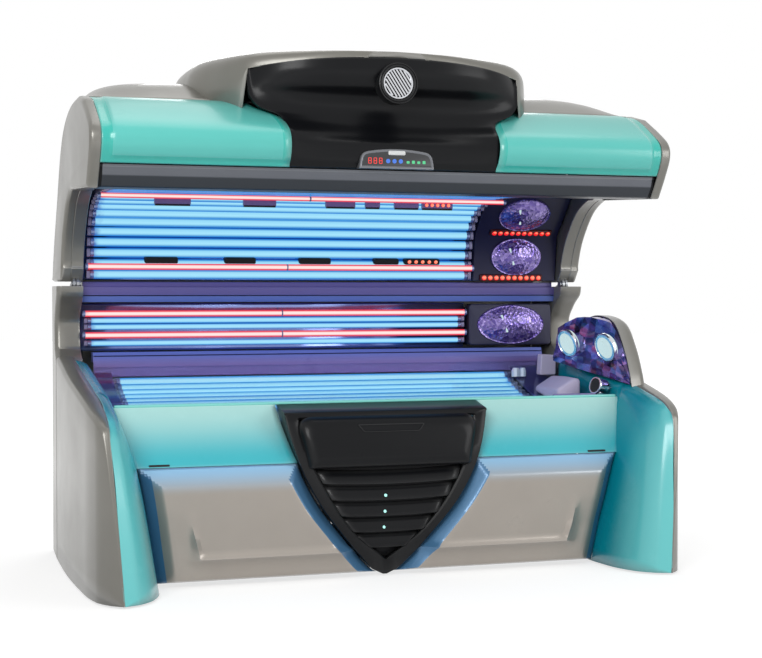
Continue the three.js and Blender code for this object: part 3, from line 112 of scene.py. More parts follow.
def _blend(t: float, p0: float, p1: float, p2: float, p3: float) -> float:
    """One coordinate of a smooth curve between p1 and p2."""
    v0, v1 = (p2 - p0) / 2, (p3 - p1) / 2
    cubic, square = 2 * p1 - 2 * p2 + v0 + v1, -3 * p1 + 3 * p2 - 2 * v0 - v1
    return ((cubic * t + square) * t + v0) * t + p1


def reading(table: Sequence[Point], at: float) -> float:
    """Value of a smooth curve that never overshoots its rows.

    Args:
        table: (place, value) rows in rising order of place.
        at: the place to read.

    Returns:
        The value there, level outside the table.
    """
    last = len(table) - 1
    if at <= table[0][0]:
        return table[0][1]
    if at >= table[last][0]:
        return table[last][1]
    k = next(i for i in range(last) if at <= table[i + 1][0])
    slopes = [(b[1] - a[1]) / (b[0] - a[0]) for a, b in zip(table, table[1:])]

    def tangent(i: int) -> float:
        """Slope of the curve at a row."""
        if i in (0, last):
            return slopes[min(i, last - 1)]
        a, b = slopes[i - 1], slopes[i]
        return 0.0 if a * b <= 0 else 2 * a * b / (a + b)

    span = table[k + 1][0] - table[k][0]
    t = (at - table[k][0]) / span
    rise = t * t * (3 - 2 * t)
    level = table[k][1] + (table[k + 1][1] - table[k][1]) * rise
    bend = tangent(k) * (1 - t) - tangent(k + 1) * t
    return level + span * t * (1 - t) * bend


def offset(line: Sequence[Point], distance: float, closed: bool = False) -> Line:
    """A line moved sideways.

    Args:
        line: the line, or a closed outline that runs anticlockwise.
        distance: how far it moves to the left of the way it runs.
        closed: whether the last point joins the first.

    Returns:
        The moved line, with as many points.
    """
    count = len(line)
    runs = count if closed else count - 1
    sides = []
    for i in range(runs):
        (u0, v0), (u1, v1) = line[i], line[(i + 1) % count]
        length = math.hypot(u1 - u0, v1 - v0) or 1.0
        sides.append(((v0 - v1) / length, (u1 - u0) / length))
    out = []
    for i, (u, v) in enumerate(line):
        a = sides[i - 1] if closed or i else sides[0]
        b = sides[i] if i < runs else sides[-1]
        scale = distance / max(0.5, 1 + a[0] * b[0] + a[1] * b[1])
        out.append((u + (a[0] + b[0]) * scale, v + (a[1] + b[1]) * scale))
    return out


def along(line: Sequence[Point], reach: float) -> Point:
    """The point at a given length along a line."""
    left = reach
    for (u0, v0), (u1, v1) in zip(line, line[1:]):
        step = math.hypot(u1 - u0, v1 - v0)
        if left <= step:
            share = left / step
            return (u0 + (u1 - u0) * share, v0 + (v1 - v0) * share)
        left -= step
    return line[-1]


def run_length(line: Sequence[Point]) -> float:
    """Length of a line."""
    return sum(math.hypot(b[0] - a[0], b[1] - a[1]) for a, b in zip(line, line[1:]))


def rounded(corners: Sequence[Point], radius: float, steps: int = 5) -> Line:
    """A closed outline with its corners rounded.

    Args:
        corners: the corners, in order.
        radius: how far before and after a corner the rounding starts.
        steps: pieces in each rounding.

    Returns:
        The rounded outline.
    """
    out = []
    count = len(corners)
    for i, corner in enumerate(corners):
        ends = []
        for other in (corners[i - 1], corners[(i + 1) % count]):
            length = math.dist(corner, other)
            share = min(radius, 0.45 * length) / length
            ends.append([c + (o - c) * share for c, o in zip(corner, other)])
        for s in range(steps + 1):
            t = s / steps
            weights = ((1 - t) ** 2, 2 * t * (1 - t), t * t)
            parts = (ends[0], corner, ends[1])
            out.append(tuple(sum(w * p[k] for w, p in zip(weights, parts)) for k in (0, 1)))
    return out


def rounded_box(u0: float, v0: float, u1: float, v1: float, radius: float, steps: int) -> Line:
    """A rounded outline between two corners."""
    return rounded([(u0, v0), (u1, v0), (u1, v1), (u0, v1)], radius, steps)


def heading(start: Point, end: Point) -> tuple[Vector, Vector]:
    """The way from one (y, z) point to another, and the way square to it on the left."""
    run = Vector((0, end[0] - start[0], end[1] - start[1])).normalized()
    return run, Vector((0, -run.z, run.y))


def steps_between(low: float, high: float, count: int) -> list[float]:
    """Even steps from low to high, both included."""
    return [low + (high - low) * i / count for i in range(count + 1)]


# Finishes

@dataclass(frozen=True)
class Recipe:
    """What every finish has: its material's name and the slot that it belongs to."""

    material: str
    slot: str


@dataclass(frozen=True)
class Coating(Recipe):
    """A lacquer, moulding or metal: two close tones, a fade to a second colour that on several finishes is
    painted light or shade, a painted highlight on sharp edges and a fine grain.
    """

    colour: Colour
    shade: Colour
    rough: float
    metal: float = 0.0
    coat: float = 0.0
    grain: float = 900.0
    relief: float = 0.03
    stretch: Spot = (1.0, 1.0, 1.0)
    fade: Colour | None = None
    direction: Spot = (0.0, 0.0, 1.0)
    fade_from: float = 0.0
    fade_to: float = 1.0
    # share of the painted highlight that pales sharp edges towards white
    edge_highlight: float = 0.12
    specular: float = 0.5


@dataclass(frozen=True)
class Glow(Recipe):
    """Lit glass or a lamp: bright to the front, a second colour at its ends, a third on its flanks."""

    colour: Colour
    ends: Colour
    strength: float
    left: float = -9.0
    right: float = 9.0
    soft: float = 0.05
    flank: Colour | None = None
    core: float = 0.35


@dataclass(frozen=True)
class Clear(Recipe):
    """Clear acrylic."""

    colour: Colour
    rough: float
    index: float


@dataclass(frozen=True)
class Facets(Recipe):
    """Purple mirror-like plastic with cells of several tones, cut or hammered; its palest and darkest cells
    are painted glints and reflections.
    """

    tones_and_glints: tuple[Colour, Colour, Colour]
    cells: float
    rough: float
    metal: float
    dent: float


class Finish(Enum):
    """The finishes on the bed."""

    SILVER = Coating("silver_lacquer", "silver_shell", (128, 126, 119), (112, 110, 104), 0.32, 0.4, 0.2)
    # painted light: the lamps' blue glow, a fade to pale blue over the panels' upper border
    PANEL = Coating(
        "panel_lacquer_lamplit_top", "silver_shell", (178, 170, 161), (160, 152, 144), 0.3, 0.35, 0.2,
        fade=(146, 196, 232), fade_from=0.36, fade_to=0.47,
    )
    # painted light: a blue copy of the panel lacquer for the side borders that the lamps light
    LAMPLIT_FLANK = Coating("blue_lit_lacquer", "silver_shell", (84, 132, 172), (74, 120, 160), 0.3, 0.2, 0.2)
    # painted shade: the covers darken towards their top, where the lights fall hardest
    TEAL = Coating(
        "teal_lacquer", "teal_shell", (58, 198, 184), (48, 186, 174), 0.26, 0.0, 0.3,
        fade=(52, 180, 168), fade_from=1.72, fade_to=1.86,
    )
    # painted light and shade: a paler copy of the teal for the covers' raised field, darkening towards the
    # top
    TEAL_FIELD_LIT = Coating(
        "teal_field_painted_light", "teal_shell", (100, 206, 197), (90, 198, 189), 0.3, 0.0, 0.15,
        fade=(92, 184, 176), fade_from=1.72, fade_to=1.86,
    )
    # painted light: the fascia pales towards its top, where the light falls
    TEAL_FASCIA = Coating(
        "teal_fascia_lacquer", "teal_shell", (62, 195, 206), (52, 185, 198), 0.26, 0.0, 0.3,
        fade=(178, 228, 223), fade_from=0.49, fade_to=0.68,
    )
    # painted shade and light: a darker copy of the teal for the liners' inward faces, paler towards their
    # front
    TEAL_LINER = Coating(
        "teal_liner_lacquer", "teal_shell", (0, 150, 166), (0, 138, 156), 0.26, 0.0, 0.3,
        fade=(112, 216, 216), direction=(0.0, -1.0, 0.0), fade_from=0.42, fade_to=0.70,
    )
    TEAL_EDGE = Coating("teal_edge_lacquer", "teal_shell", (112, 226, 214), (100, 214, 204), 0.25, 0.0, 0.6)
    BLACK = Coating(
        "black_console_lacquer", "black_console", (15, 16, 19), (9, 10, 13), 0.3, 0.0, 0.04,
        specular=0.17, edge_highlight=0.03,
    )
    BLACK_PART = Coating(
        "black_moulding", "black_part", (16, 17, 20), (10, 11, 14), 0.45, specular=0.15, edge_highlight=0.03
    )
    LED_BAR = Coating("red_lit_bar", "black_part", (92, 10, 12), (58, 6, 10), 0.35, specular=0.2, edge_highlight=0.03)
    NAVY = Coating(
        "navy_moulding", "black_part", (26, 26, 66), (17, 17, 48), 0.3, 0.0, 0.05, specular=0.2, edge_highlight=0.04
    )
    BEZEL = Coating("display_bezel", "display", (120, 122, 127), (104, 106, 112), 0.3, 0.7)
    CHROME = Coating("chrome_plating", "chrome_trim", (216, 218, 222), (204, 206, 211), 0.14, 1.0)
    # painted shade: the rail's lower facet is darker than its upper one
    RAIL = Coating(
        "brushed_aluminium", "rail", (104, 107, 114), (90, 93, 100), 0.42, 0.5, 0.0, 300.0, 0.04,
        stretch=(0.02, 1.0, 1.0), fade=(52, 56, 62), direction=(0.0, 0.0, -1.0),
        fade_from=-1.574, fade_to=-1.566,
    )
    STEEL = Coating(
        "ground_steel", "steel", (146, 149, 154), (128, 132, 138), 0.36, 0.9, 0.0, 260.0, 0.05,
        stretch=(1.0, 1.0, 0.05),
    )
    GALVANISED = Coating(
        "galvanised_sheet", "galvanised", (166, 170, 172), (138, 143, 147), 0.5, 0.7, 0.0, 60.0
    )
    # painted reflection: the reflector's blue stands for the lit lamps' light that it mirrors
    MIRROR = Coating("lamp_reflector", "reflector", (96, 128, 196), (70, 96, 170), 0.16, 0.8, 0.0, 40.0, 0.02)
    ACRYLIC = Clear("clear_acrylic", "acrylic", (236, 250, 254), 0.02, 1.16)
    CRYSTAL = Coating("cut_crystal", "acrylic", (222, 234, 246), (176, 200, 232), 0.08, 0.2, 0.6, grain=90.0)
    BLUE_LAMP = Glow(
        "blue_lamp_glass", "blue_lamp", (158, 226, 252), (20, 74, 178), 0.95, -1.02, 0.64, 0.06,
        flank=(38, 130, 208), core=0.5,
    )
    BENCH_LAMP = Glow(
        "bench_lamp_glass", "blue_lamp", (172, 231, 252), (60, 130, 220), 0.95, -0.94, 0.80, 0.06,
        flank=(58, 150, 222), core=0.5,
    )
    LAMP_CAP = Coating("lamp_cap", "blue_lamp", (120, 140, 190), (84, 96, 150), 0.3, 0.6)
    RED_LAMP = Glow(
        "red_lamp_glass", "red_lamp", (255, 226, 222), (236, 96, 110), 1.0, -1.07, 0.65, 0.03,
        flank=(232, 52, 66), core=0.72,
    )
    SHOULDER = Glow("shoulder_lamp_glass", "blue_lamp", (214, 241, 242), (170, 220, 226), 0.78)
    LILAC = Coating("lilac_trim", "lilac_trim", (98, 84, 158), (84, 70, 144), 0.34, 0.1, 0.2)
    BAND = Coating(
        "upper_band", "lilac_trim", (66, 98, 184), (56, 86, 172), 0.3, 0.1, 0.1, specular=0.3,
        fade=(64, 48, 136), fade_from=1.112, fade_to=1.13,
    )
    BAND_LOW = Coating(
        "lower_band", "lilac_trim", (98, 58, 146), (86, 50, 134), 0.3, 0.1, 0.1, specular=0.3,
        fade=(74, 98, 188), fade_from=0.80, fade_to=0.876,
    )
    VIOLET = Coating("violet_trim", "lilac_trim", (66, 54, 124), (52, 42, 104), 0.3, 0.2, 0.3)
    PAD = Coating("lilac_pad", "lilac_trim", (204, 195, 222), (190, 182, 210), 0.55, 0.0, 0.0, 420.0, 0.12)
    # painted reflections: near-black and pale lilac cells stand for the facets' dark reflections and sparkle
    LENS = Facets(
        "cut_purple_lens", "purple_lens", ((12, 9, 30), (156, 114, 190), (84, 104, 168)),
        22, 0.1, 0.8, 0.0,
    )
    # painted highlight: the pale lilac cells stand for the hammered glass's glints
    BOWL = Facets(
        "hammered_purple_bowl", "purple_lens", ((84, 62, 150), (170, 150, 214), (58, 44, 120)),
        75, 0.16, 0.6, 0.6,
    )
    LED_RED = Glow("red_led", "red_lamp", (255, 132, 96), (250, 60, 40), 1.2, flank=(240, 24, 14), core=0.75)
    LED_TEAL = Glow("teal_led", "display", (170, 244, 232), (170, 244, 232), 1.4)
    SCREEN = Coating("dark_screen", "display", (20, 24, 32), (14, 17, 24), 0.12, 0.0, 0.6)
    DIGIT = Glow("red_digit", "display", (255, 60, 50), (255, 60, 50), 1.1)
    ICON_GREEN = Glow("green_sign", "display", (90, 220, 150), (90, 220, 150), 0.9)
    ICON_BLUE = Glow("blue_ring", "display", (70, 130, 240), (70, 130, 240), 0.9)
    WHITE = Coating("white_key", "display", (226, 228, 228), (214, 216, 218), 0.4)


def linear(colour: Colour) -> tuple[float, float, float, float]:
    """A screen colour of 0 to 255 as the linear colour that a node takes."""
    parts = [c / 255 for c in colour]
    return (*(c / 12.92 if c < 0.04045 else ((c + 0.055) / 1.055) ** 2.4 for c in parts), 1.0)


class Sketch:
    """A node tree with short calls to fill it."""

    def __init__(self, tree: bpy.types.NodeTree) -> None:
        """Takes the tree to fill."""
        self.tree = tree

    def node(self, kind: str, feeds: Feeds | None = None, **settings: object) -> bpy.types.Node:
        """Adds a node.

        Args:
            kind: the node's type, without its ShaderNode prefix.
            feeds: what goes into its inputs, by name or number.
            settings: its properties.

        Returns:
            The node.
        """
        made = self.tree.nodes.new(kind if kind.startswith("Node") else f"ShaderNode{kind}")
        for name, value in settings.items():
            setattr(made, name, value)
        self.feed(made, feeds or {})
        return made

    def feed(self, node: bpy.types.Node, feeds: Feeds) -> None:
        """Links sockets to a node's inputs and sets plain values on them."""
        for name, value in feeds.items():
            if isinstance(value, bpy.types.NodeSocket):
                self.tree.links.new(value, node.inputs[name])
            else:
                node.inputs[name].default_value = value

    def maths(self, operation: str, first: object, second: object) -> bpy.types.NodeSocket:
        """Adds a maths node and gives its output."""
        return self.node("Math", {0: first, 1: second}, operation=operation).outputs[0]

    def mixed(self, share: object, first: object, second: object) -> bpy.types.NodeSocket:
        """Adds a colour mix and gives its output."""
        return self.node("Mix", {0: share, 6: first, 7: second}, data_type="RGBA").outputs[2]

    def step(self, value: object, low: object, high: object) -> bpy.types.NodeSocket:
        """Adds a soft step from 0 at low to 1 at high and gives its output."""
        feeds = {"Value": value, "From Min": low, "From Max": high}
        return self.node("MapRange", feeds, interpolation_type="SMOOTHSTEP").outputs["Result"]

    def bump(self, height: object, strength: float, depth: float) -> bpy.types.NodeSocket:
        """Adds a bump and gives its normal."""
        feeds = {"Height": height, "Strength": strength, "Distance": depth}
        return self.node("Bump", feeds).outputs["Normal"]


class PaintShop:
    """Makes each finish's material once, from shared node groups."""

    def __init__(self) -> None:
        """Builds the shared groups."""
        self.made: dict[Finish, bpy.types.Material] = {}
        self.grain = self._grain()
        self.fade = self._fade()
        self.edge_highlight = self._edge_highlight()
        self.cells = self._cells()
        self.lit = self._lit()

    def of(self, finish: Finish) -> bpy.types.Material:
        """The material of a finish."""
        if finish not in self.made:
            recipe = finish.value
            makers: dict[type, Callable[..., None]] = {
                Coating: self._coating, Glow: self._glow, Clear: self._clear, Facets: self._facets,
            }
            material = bpy.data.materials.new(recipe.material)
            material.use_nodes = True
            material.node_tree.nodes.clear()
            sketch = Sketch(material.node_tree)
            shader = sketch.node("BsdfPrincipled")
            sketch.node("OutputMaterial", {0: shader.outputs[0]})
            makers[type(recipe)](sketch, shader, recipe)
            self.made[finish] = material
        return self.made[finish]

    @staticmethod
    def _group(
        name: str, inputs: dict[str, str], outputs: dict[str, str]
    ) -> tuple[Sketch, bpy.types.NodeOutputs, bpy.types.Node]:
        """Starts a node group.

        Args:
            name: the group's name.
            inputs: socket types by input name.
            outputs: socket types by output name.

        Returns:
            A sketch of its tree, the sockets that it is given and its output node.
        """
        tree = bpy.data.node_groups.new(name, "ShaderNodeTree")
        for way, sockets in (("INPUT", inputs), ("OUTPUT", outputs)):
            for socket, kind in sockets.items():
                tree.interface.new_socket(socket, in_out=way, socket_type=f"NodeSocket{kind}")
        sketch = Sketch(tree)
        return sketch, sketch.node("NodeGroupInput").outputs, sketch.node("NodeGroupOutput")

    def _grain(self) -> bpy.types.NodeTree:
        """Two close tones in soft clouds, with a fine surface grain."""
        inputs = {"Tone": "Color", "Shade": "Color", "Grain": "Float", "Stretch": "Vector", "Rough": "Float"}
        outputs = {"Color": "Color", "Roughness": "Float", "Height": "Float"}
        sketch, given, sink = self._group("moulded_grain", inputs, outputs)
        place = sketch.node("TexCoord").outputs["Object"]
        scaled = sketch.node("VectorMath", {0: place, 1: given["Stretch"]}, operation="MULTIPLY").outputs[0]
        clouds = sketch.node("TexNoise", {"Vector": place, "Scale": 6.0, "Detail": 4.0}).outputs[0]
        fine = sketch.node("TexNoise", {"Vector": scaled, "Scale": given["Grain"], "Detail": 2.0}).outputs[0]
        both = sketch.maths("ADD", sketch.maths("MULTIPLY", clouds, 0.6), sketch.maths("MULTIPLY", fine, 0.4))
        lift = sketch.maths("MULTIPLY", sketch.maths("SUBTRACT", both, 0.5), 0.18)
        sketch.feed(sink, {
            "Color": sketch.mixed(both, given["Tone"], given["Shade"]),
            "Roughness": sketch.maths("ADD", given["Rough"], lift), "Height": fine,
        })
        return sketch.tree

    def _fade(self) -> bpy.types.NodeTree:
        """A soft step along a direction through the piece."""
        inputs = {"Direction": "Vector", "From": "Float", "To": "Float"}
        sketch, given, sink = self._group("position_fade", inputs, {"Mask": "Float"})
        place = sketch.node("TexCoord").outputs["Object"]
        dot = sketch.node("VectorMath", {0: place, 1: given["Direction"]}, operation="DOT_PRODUCT")
        sketch.feed(sink, {"Mask": sketch.step(dot.outputs["Value"], given["From"], given["To"])})
        return sketch.tree

    def _edge_highlight(self) -> bpy.types.NodeTree:
        """Painted highlight: sharp edges a little paler than the rest, mixed towards white."""
        inputs = {"Color": "Color", "Amount": "Float"}
        sketch, given, sink = self._group("painted_edge_highlight", inputs, {"Color": "Color"})
        edges = sketch.step(sketch.node("NewGeometry").outputs["Pointiness"], 0.52, 0.6)
        share = sketch.maths("MULTIPLY", edges, given["Amount"])
        sketch.feed(sink, {"Color": sketch.mixed(share, given["Color"], PURE_WHITE)})
        return sketch.tree

    def _cells(self) -> bpy.types.NodeTree:
        """Cells of three tones, and a dent in the middle of each."""
        inputs = {"First": "Color", "Second": "Color", "Third": "Color", "Cells": "Float"}
        sketch, given, sink = self._group("cut_cells", inputs, {"Color": "Color", "Height": "Float"})
        place = sketch.node("TexCoord").outputs["Object"]
        cells = sketch.node("TexVoronoi", {"Vector": place, "Scale": given["Cells"]}).outputs
        split = sketch.node("SeparateColor", {0: cells["Color"]}).outputs
        pair = sketch.mixed(split[0], given["First"], given["Second"])
        share = sketch.maths("MULTIPLY", split[1], 0.6)
        sketch.feed(sink, {"Color": sketch.mixed(share, pair, given["Third"]), "Height": cells["Distance"]})
        return sketch.tree

    def _lit(self) -> bpy.types.NodeTree:
        """A lamp's glow along X: its own colour to the front, one on its flanks, one at its blotchy ends."""
        inputs = {name: "Color" for name in ("Glow", "Flank", "Ends")}
        inputs |= {name: "Float" for name in ("Left", "Right", "Soft", "Core")}
        sketch, given, sink = self._group("lamp_glow", inputs, {"Color": "Color"})
        coords = sketch.node("TexCoord").outputs
        noise = sketch.node("TexNoise", {"Vector": coords["Object"], "Scale": 30.0}).outputs[0]
        shift = sketch.maths("MULTIPLY", sketch.maths("SUBTRACT", noise, 0.5), 0.06)
        x = sketch.maths("ADD", sketch.node("SeparateXYZ", {0: coords["Object"]}).outputs["X"], shift)
        masks = []
        for end, sign in (("Left", -1.0), ("Right", 1.0)):
            past = sketch.maths("MULTIPLY", sketch.maths("SUBTRACT", x, given[end]), sign)
            masks.append(sketch.step(past, 0.0, given["Soft"]))
        ahead = {0: coords["Normal"], 1: (0.0, -1.0, 0.0)}
        facing = sketch.node("VectorMath", ahead, operation="DOT_PRODUCT")
        front = sketch.step(facing.outputs["Value"], given["Core"], 0.98)
        run = sketch.mixed(front, given["Flank"], given["Glow"])
        sketch.feed(sink, {"Color": sketch.mixed(sketch.maths("MAXIMUM", *masks), run, given["Ends"])})
        return sketch.tree

    def _coating(self, sketch: Sketch, shader: bpy.types.Node, recipe: Coating) -> None:
        """Fills in a lacquer, moulding or metal."""
        grain = sketch.node("Group", {
            "Tone": linear(recipe.colour), "Shade": linear(recipe.shade), "Grain": recipe.grain,
            "Stretch": recipe.stretch, "Rough": recipe.rough,
        }, node_tree=self.grain).outputs
        colour = grain["Color"]
        if recipe.fade:
            feeds = {"Direction": recipe.direction, "From": recipe.fade_from, "To": recipe.fade_to}
            mask = sketch.node("Group", feeds, node_tree=self.fade).outputs["Mask"]
            colour = sketch.mixed(mask, colour, linear(recipe.fade))
        # painted highlight: sharp edges paled towards white
        highlighted = sketch.node("Group", {"Color": colour, "Amount": recipe.edge_highlight}, node_tree=self.edge_highlight)
        sketch.feed(shader, {
            "Base Color": highlighted.outputs["Color"], "Roughness": grain["Roughness"], "Metallic": recipe.metal,
            "Coat Weight": recipe.coat, "Coat Roughness": 0.12, "Specular IOR Level": recipe.specular,
            "Normal": sketch.bump(grain["Height"], recipe.relief, 0.0006),
        })

    def _glow(self, sketch: Sketch, shader: bpy.types.Node, recipe: Glow) -> None:
        """Fills in a lamp or a light."""
        lit = sketch.node("Group", {
            "Glow": linear(recipe.colour), "Flank": linear(recipe.flank or recipe.colour),
            "Ends": linear(recipe.ends), "Left": recipe.left, "Right": recipe.right, "Soft": recipe.soft,
            "Core": recipe.core,
        }, node_tree=self.lit)
        sketch.feed(shader, {
            "Emission Color": lit.outputs["Color"], "Emission Strength": recipe.strength,
            "Base Color": (0.02, 0.02, 0.03, 1.0), "Roughness": 0.15,
        })

    def _clear(self, sketch: Sketch, shader: bpy.types.Node, recipe: Clear) -> None:
        """Fills in a clear plastic."""
        tone = linear(recipe.colour)
        grain = sketch.node("Group", {
            "Tone": tone, "Shade": tone, "Grain": 30.0, "Stretch": (1.0, 1.0, 1.0), "Rough": recipe.rough,
        }, node_tree=self.grain).outputs
        sketch.feed(shader, {
            "Base Color": grain["Color"], "Roughness": recipe.rough, "IOR": recipe.index,
            "Transmission Weight": 1.0, "Normal": sketch.bump(grain["Height"], 0.02, 0.0004),
        })

    def _facets(self, sketch: Sketch, shader: bpy.types.Node, recipe: Facets) -> None:
        """Fills in a cut or hammered plastic."""
        tones_and_glints = {name: linear(tone) for name, tone in zip(("First", "Second", "Third"), recipe.tones_and_glints)}
        cells = sketch.node("Group", {**tones_and_glints, "Cells": recipe.cells}, node_tree=self.cells).outputs
        sketch.feed(shader, {
            "Base Color": cells["Color"], "Roughness": recipe.rough, "Metallic": recipe.metal,
            "Coat Weight": 0.5, "Normal": sketch.bump(cells["Height"], recipe.dent, 0.004),
        })


# Meshes

class Across(Enum):
    """Which axis an outline is carried along, with the way its (u, v, w) becomes (x, y, z)."""

    X = (2, 0, 1)
    Y = (0, 2, 1)
    Z = (0, 1, 2)

    def point(self, u: float, v: float, w: float) -> Vector:
        """The point at (u, v) of the outline and w along the axis."""
        return Vector((u, v, w)[i] for i in self.value)


class Shape:
    """Points and faces gathered into one piece."""

    def __init__(self) -> None:
        """Starts empty."""
        self.points: list[Vector] = []
        self.faces: list[tuple[tuple[int, ...], int]] = []

    def grid(self, rows: Rows, kind: int = 0, wrap: bool = False) -> Shape:
        """Adds a sheet over rows of points.

        Args:
            rows: rows with the same number of points.
            kind: which of the piece's finishes it takes.
            wrap: whether each row closes on itself.

        Returns:
            The shape.
        """
        start, width = len(self.points), len(rows[0])
        self.points.extend(Vector(p) for row in rows for p in row)
        for r in range(len(rows) - 1):
            for c in range(width if wrap else width - 1):
                a, b = start + r * width + c, start + r * width + (c + 1) % width
                self.faces.append(((a, b, b + width, a + width), kind))
        return self

    def loft(self, rings: Rows, kind: int = 0) -> Shape:
        """Adds a closed body over rings of points and gives the shape."""
        start, width = len(self.points), len(rings[0])
        self.grid(rings, kind, wrap=True)
        last = start + (len(rings) - 1) * width
        for first in (start, last):
            self.faces.append((tuple(range(first, first + width)), kind))
        return self

    def prism(self, loop: Sequence[Point], across: Across, low: float, high: float, kind: int = 0) -> Shape:
        """Adds an outline carried along an axis from low to high and gives the shape."""
        return self.loft([[across.point(u, v, w) for u, v in loop] for w in (low, high)], kind)

    def box(self, low: Sequence[float], high: Sequence[float], kind: int = 0) -> None:
        """Adds a block between two corners."""
        loop = [(low[0], low[1]), (high[0], low[1]), (high[0], high[1]), (low[0], high[1])]
        self.prism(loop, Across.Z, low[2], high[2], kind)

    def spun(
        self, profile: Sequence[Point], centre: Sequence[float], axis: Sequence[float],
        sides: int = 32, kind: int = 0,
    ) -> None:
        """Adds a turned body.

        Args:
            profile: (radius, reach along the axis) points.
            centre: the point that reach is counted from.
            axis: direction of the axis.
            sides: faces round the axis.
            kind: which of the piece's finishes it takes.
        """
        way = Vector(axis).normalized()
        side = way.orthogonal().normalized()
        up = way.cross(side)
        angles = [2 * math.pi * i / sides for i in range(sides)]
        rings = [
            [Vector(centre) + way * d + (side * math.cos(a) + up * math.sin(a)) * r for a in angles]
            for r, d in profile
        ]
        self.loft(rings, kind)

    def rod(
        self, start: Sequence[float], end: Sequence[float], radius: float, sides: int = 20, kind: int = 0
    ) -> None:
        """Adds a round bar with softened ends between two points."""
        run = Vector(end) - Vector(start)
        far = run.length
        soft = min(0.3 * radius, 0.3 * far)
        profile = [(radius - soft, 0.0), (radius, soft), (radius, far - soft), (radius - soft, far)]
        self.spun(profile, start, run, sides, kind)

    def build(
        self, name: str, shop: PaintShop, finishes: Sequence[Finish], wall: float = 0.0,
        edge: float = 0.0, out: Sequence[float] | None = None, smooth: float = 38.0,
    ) -> bpy.types.Object:
        """Makes the object.

        Args:
            name: the piece's name.
            shop: where its materials come from.
            finishes: its finishes, by kind.
            wall: thickness behind a sheet.
            edge: width of its edge rounding.
            out: the way that a sheet faces on the whole.
            smooth: faces meeting at less than this angle shade as one, in degrees.

        Returns:
            The object.
        """
        mesh = bpy.data.meshes.new(name)
        mesh.from_pydata(self.points, [], [face for face, _ in self.faces])
        mesh.polygons.foreach_set("material_index", [kind for _, kind in self.faces])
        body = bmesh.new()
        body.from_mesh(mesh)
        bmesh.ops.remove_doubles(body, verts=body.verts, dist=1e-5)
        bmesh.ops.recalc_face_normals(body, faces=body.faces)
        if out is not None:
            facing = sum((f.normal * f.calc_area() for f in body.faces), Vector())
            if facing.dot(Vector(out)) < 0:
                bmesh.ops.reverse_faces(body, faces=body.faces)
        body.to_mesh(mesh)
        body.free()
        mesh.polygons.foreach_set("use_smooth", [True] * len(mesh.polygons))
        mesh.set_sharp_from_angle(angle=math.radians(smooth))
        piece = bpy.data.objects.new(name, mesh)
        bpy.context.scene.collection.objects.link(piece)
        for finish in finishes:
            mesh.materials.append(shop.of(finish))
        if wall:
            solid = piece.modifiers.new("wall", "SOLIDIFY")
            solid.thickness = wall
            solid.offset = -1.0
        if edge:
            bevel = piece.modifiers.new("edge", "BEVEL")
            bevel.width = edge
            bevel.segments = 2
            bevel.limit_method = "ANGLE"
            bevel.angle_limit = math.radians(smooth)
        return piece


def seat(piece: bpy.types.Object, body: str, finish: Finish, *nodes: str) -> None:
    """Puts a piece on its body and over the nodes that it stands for.

    Args:
        piece: the piece.
        body: the body that it moves with.
        finish: not used.
        nodes: the nodes that it replaces.
    """
    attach(piece, body)
    if nodes:
        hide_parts(*nodes)
    LOG.info("%s on %s, %d faces", piece.name, body, len(piece.data.polygons))


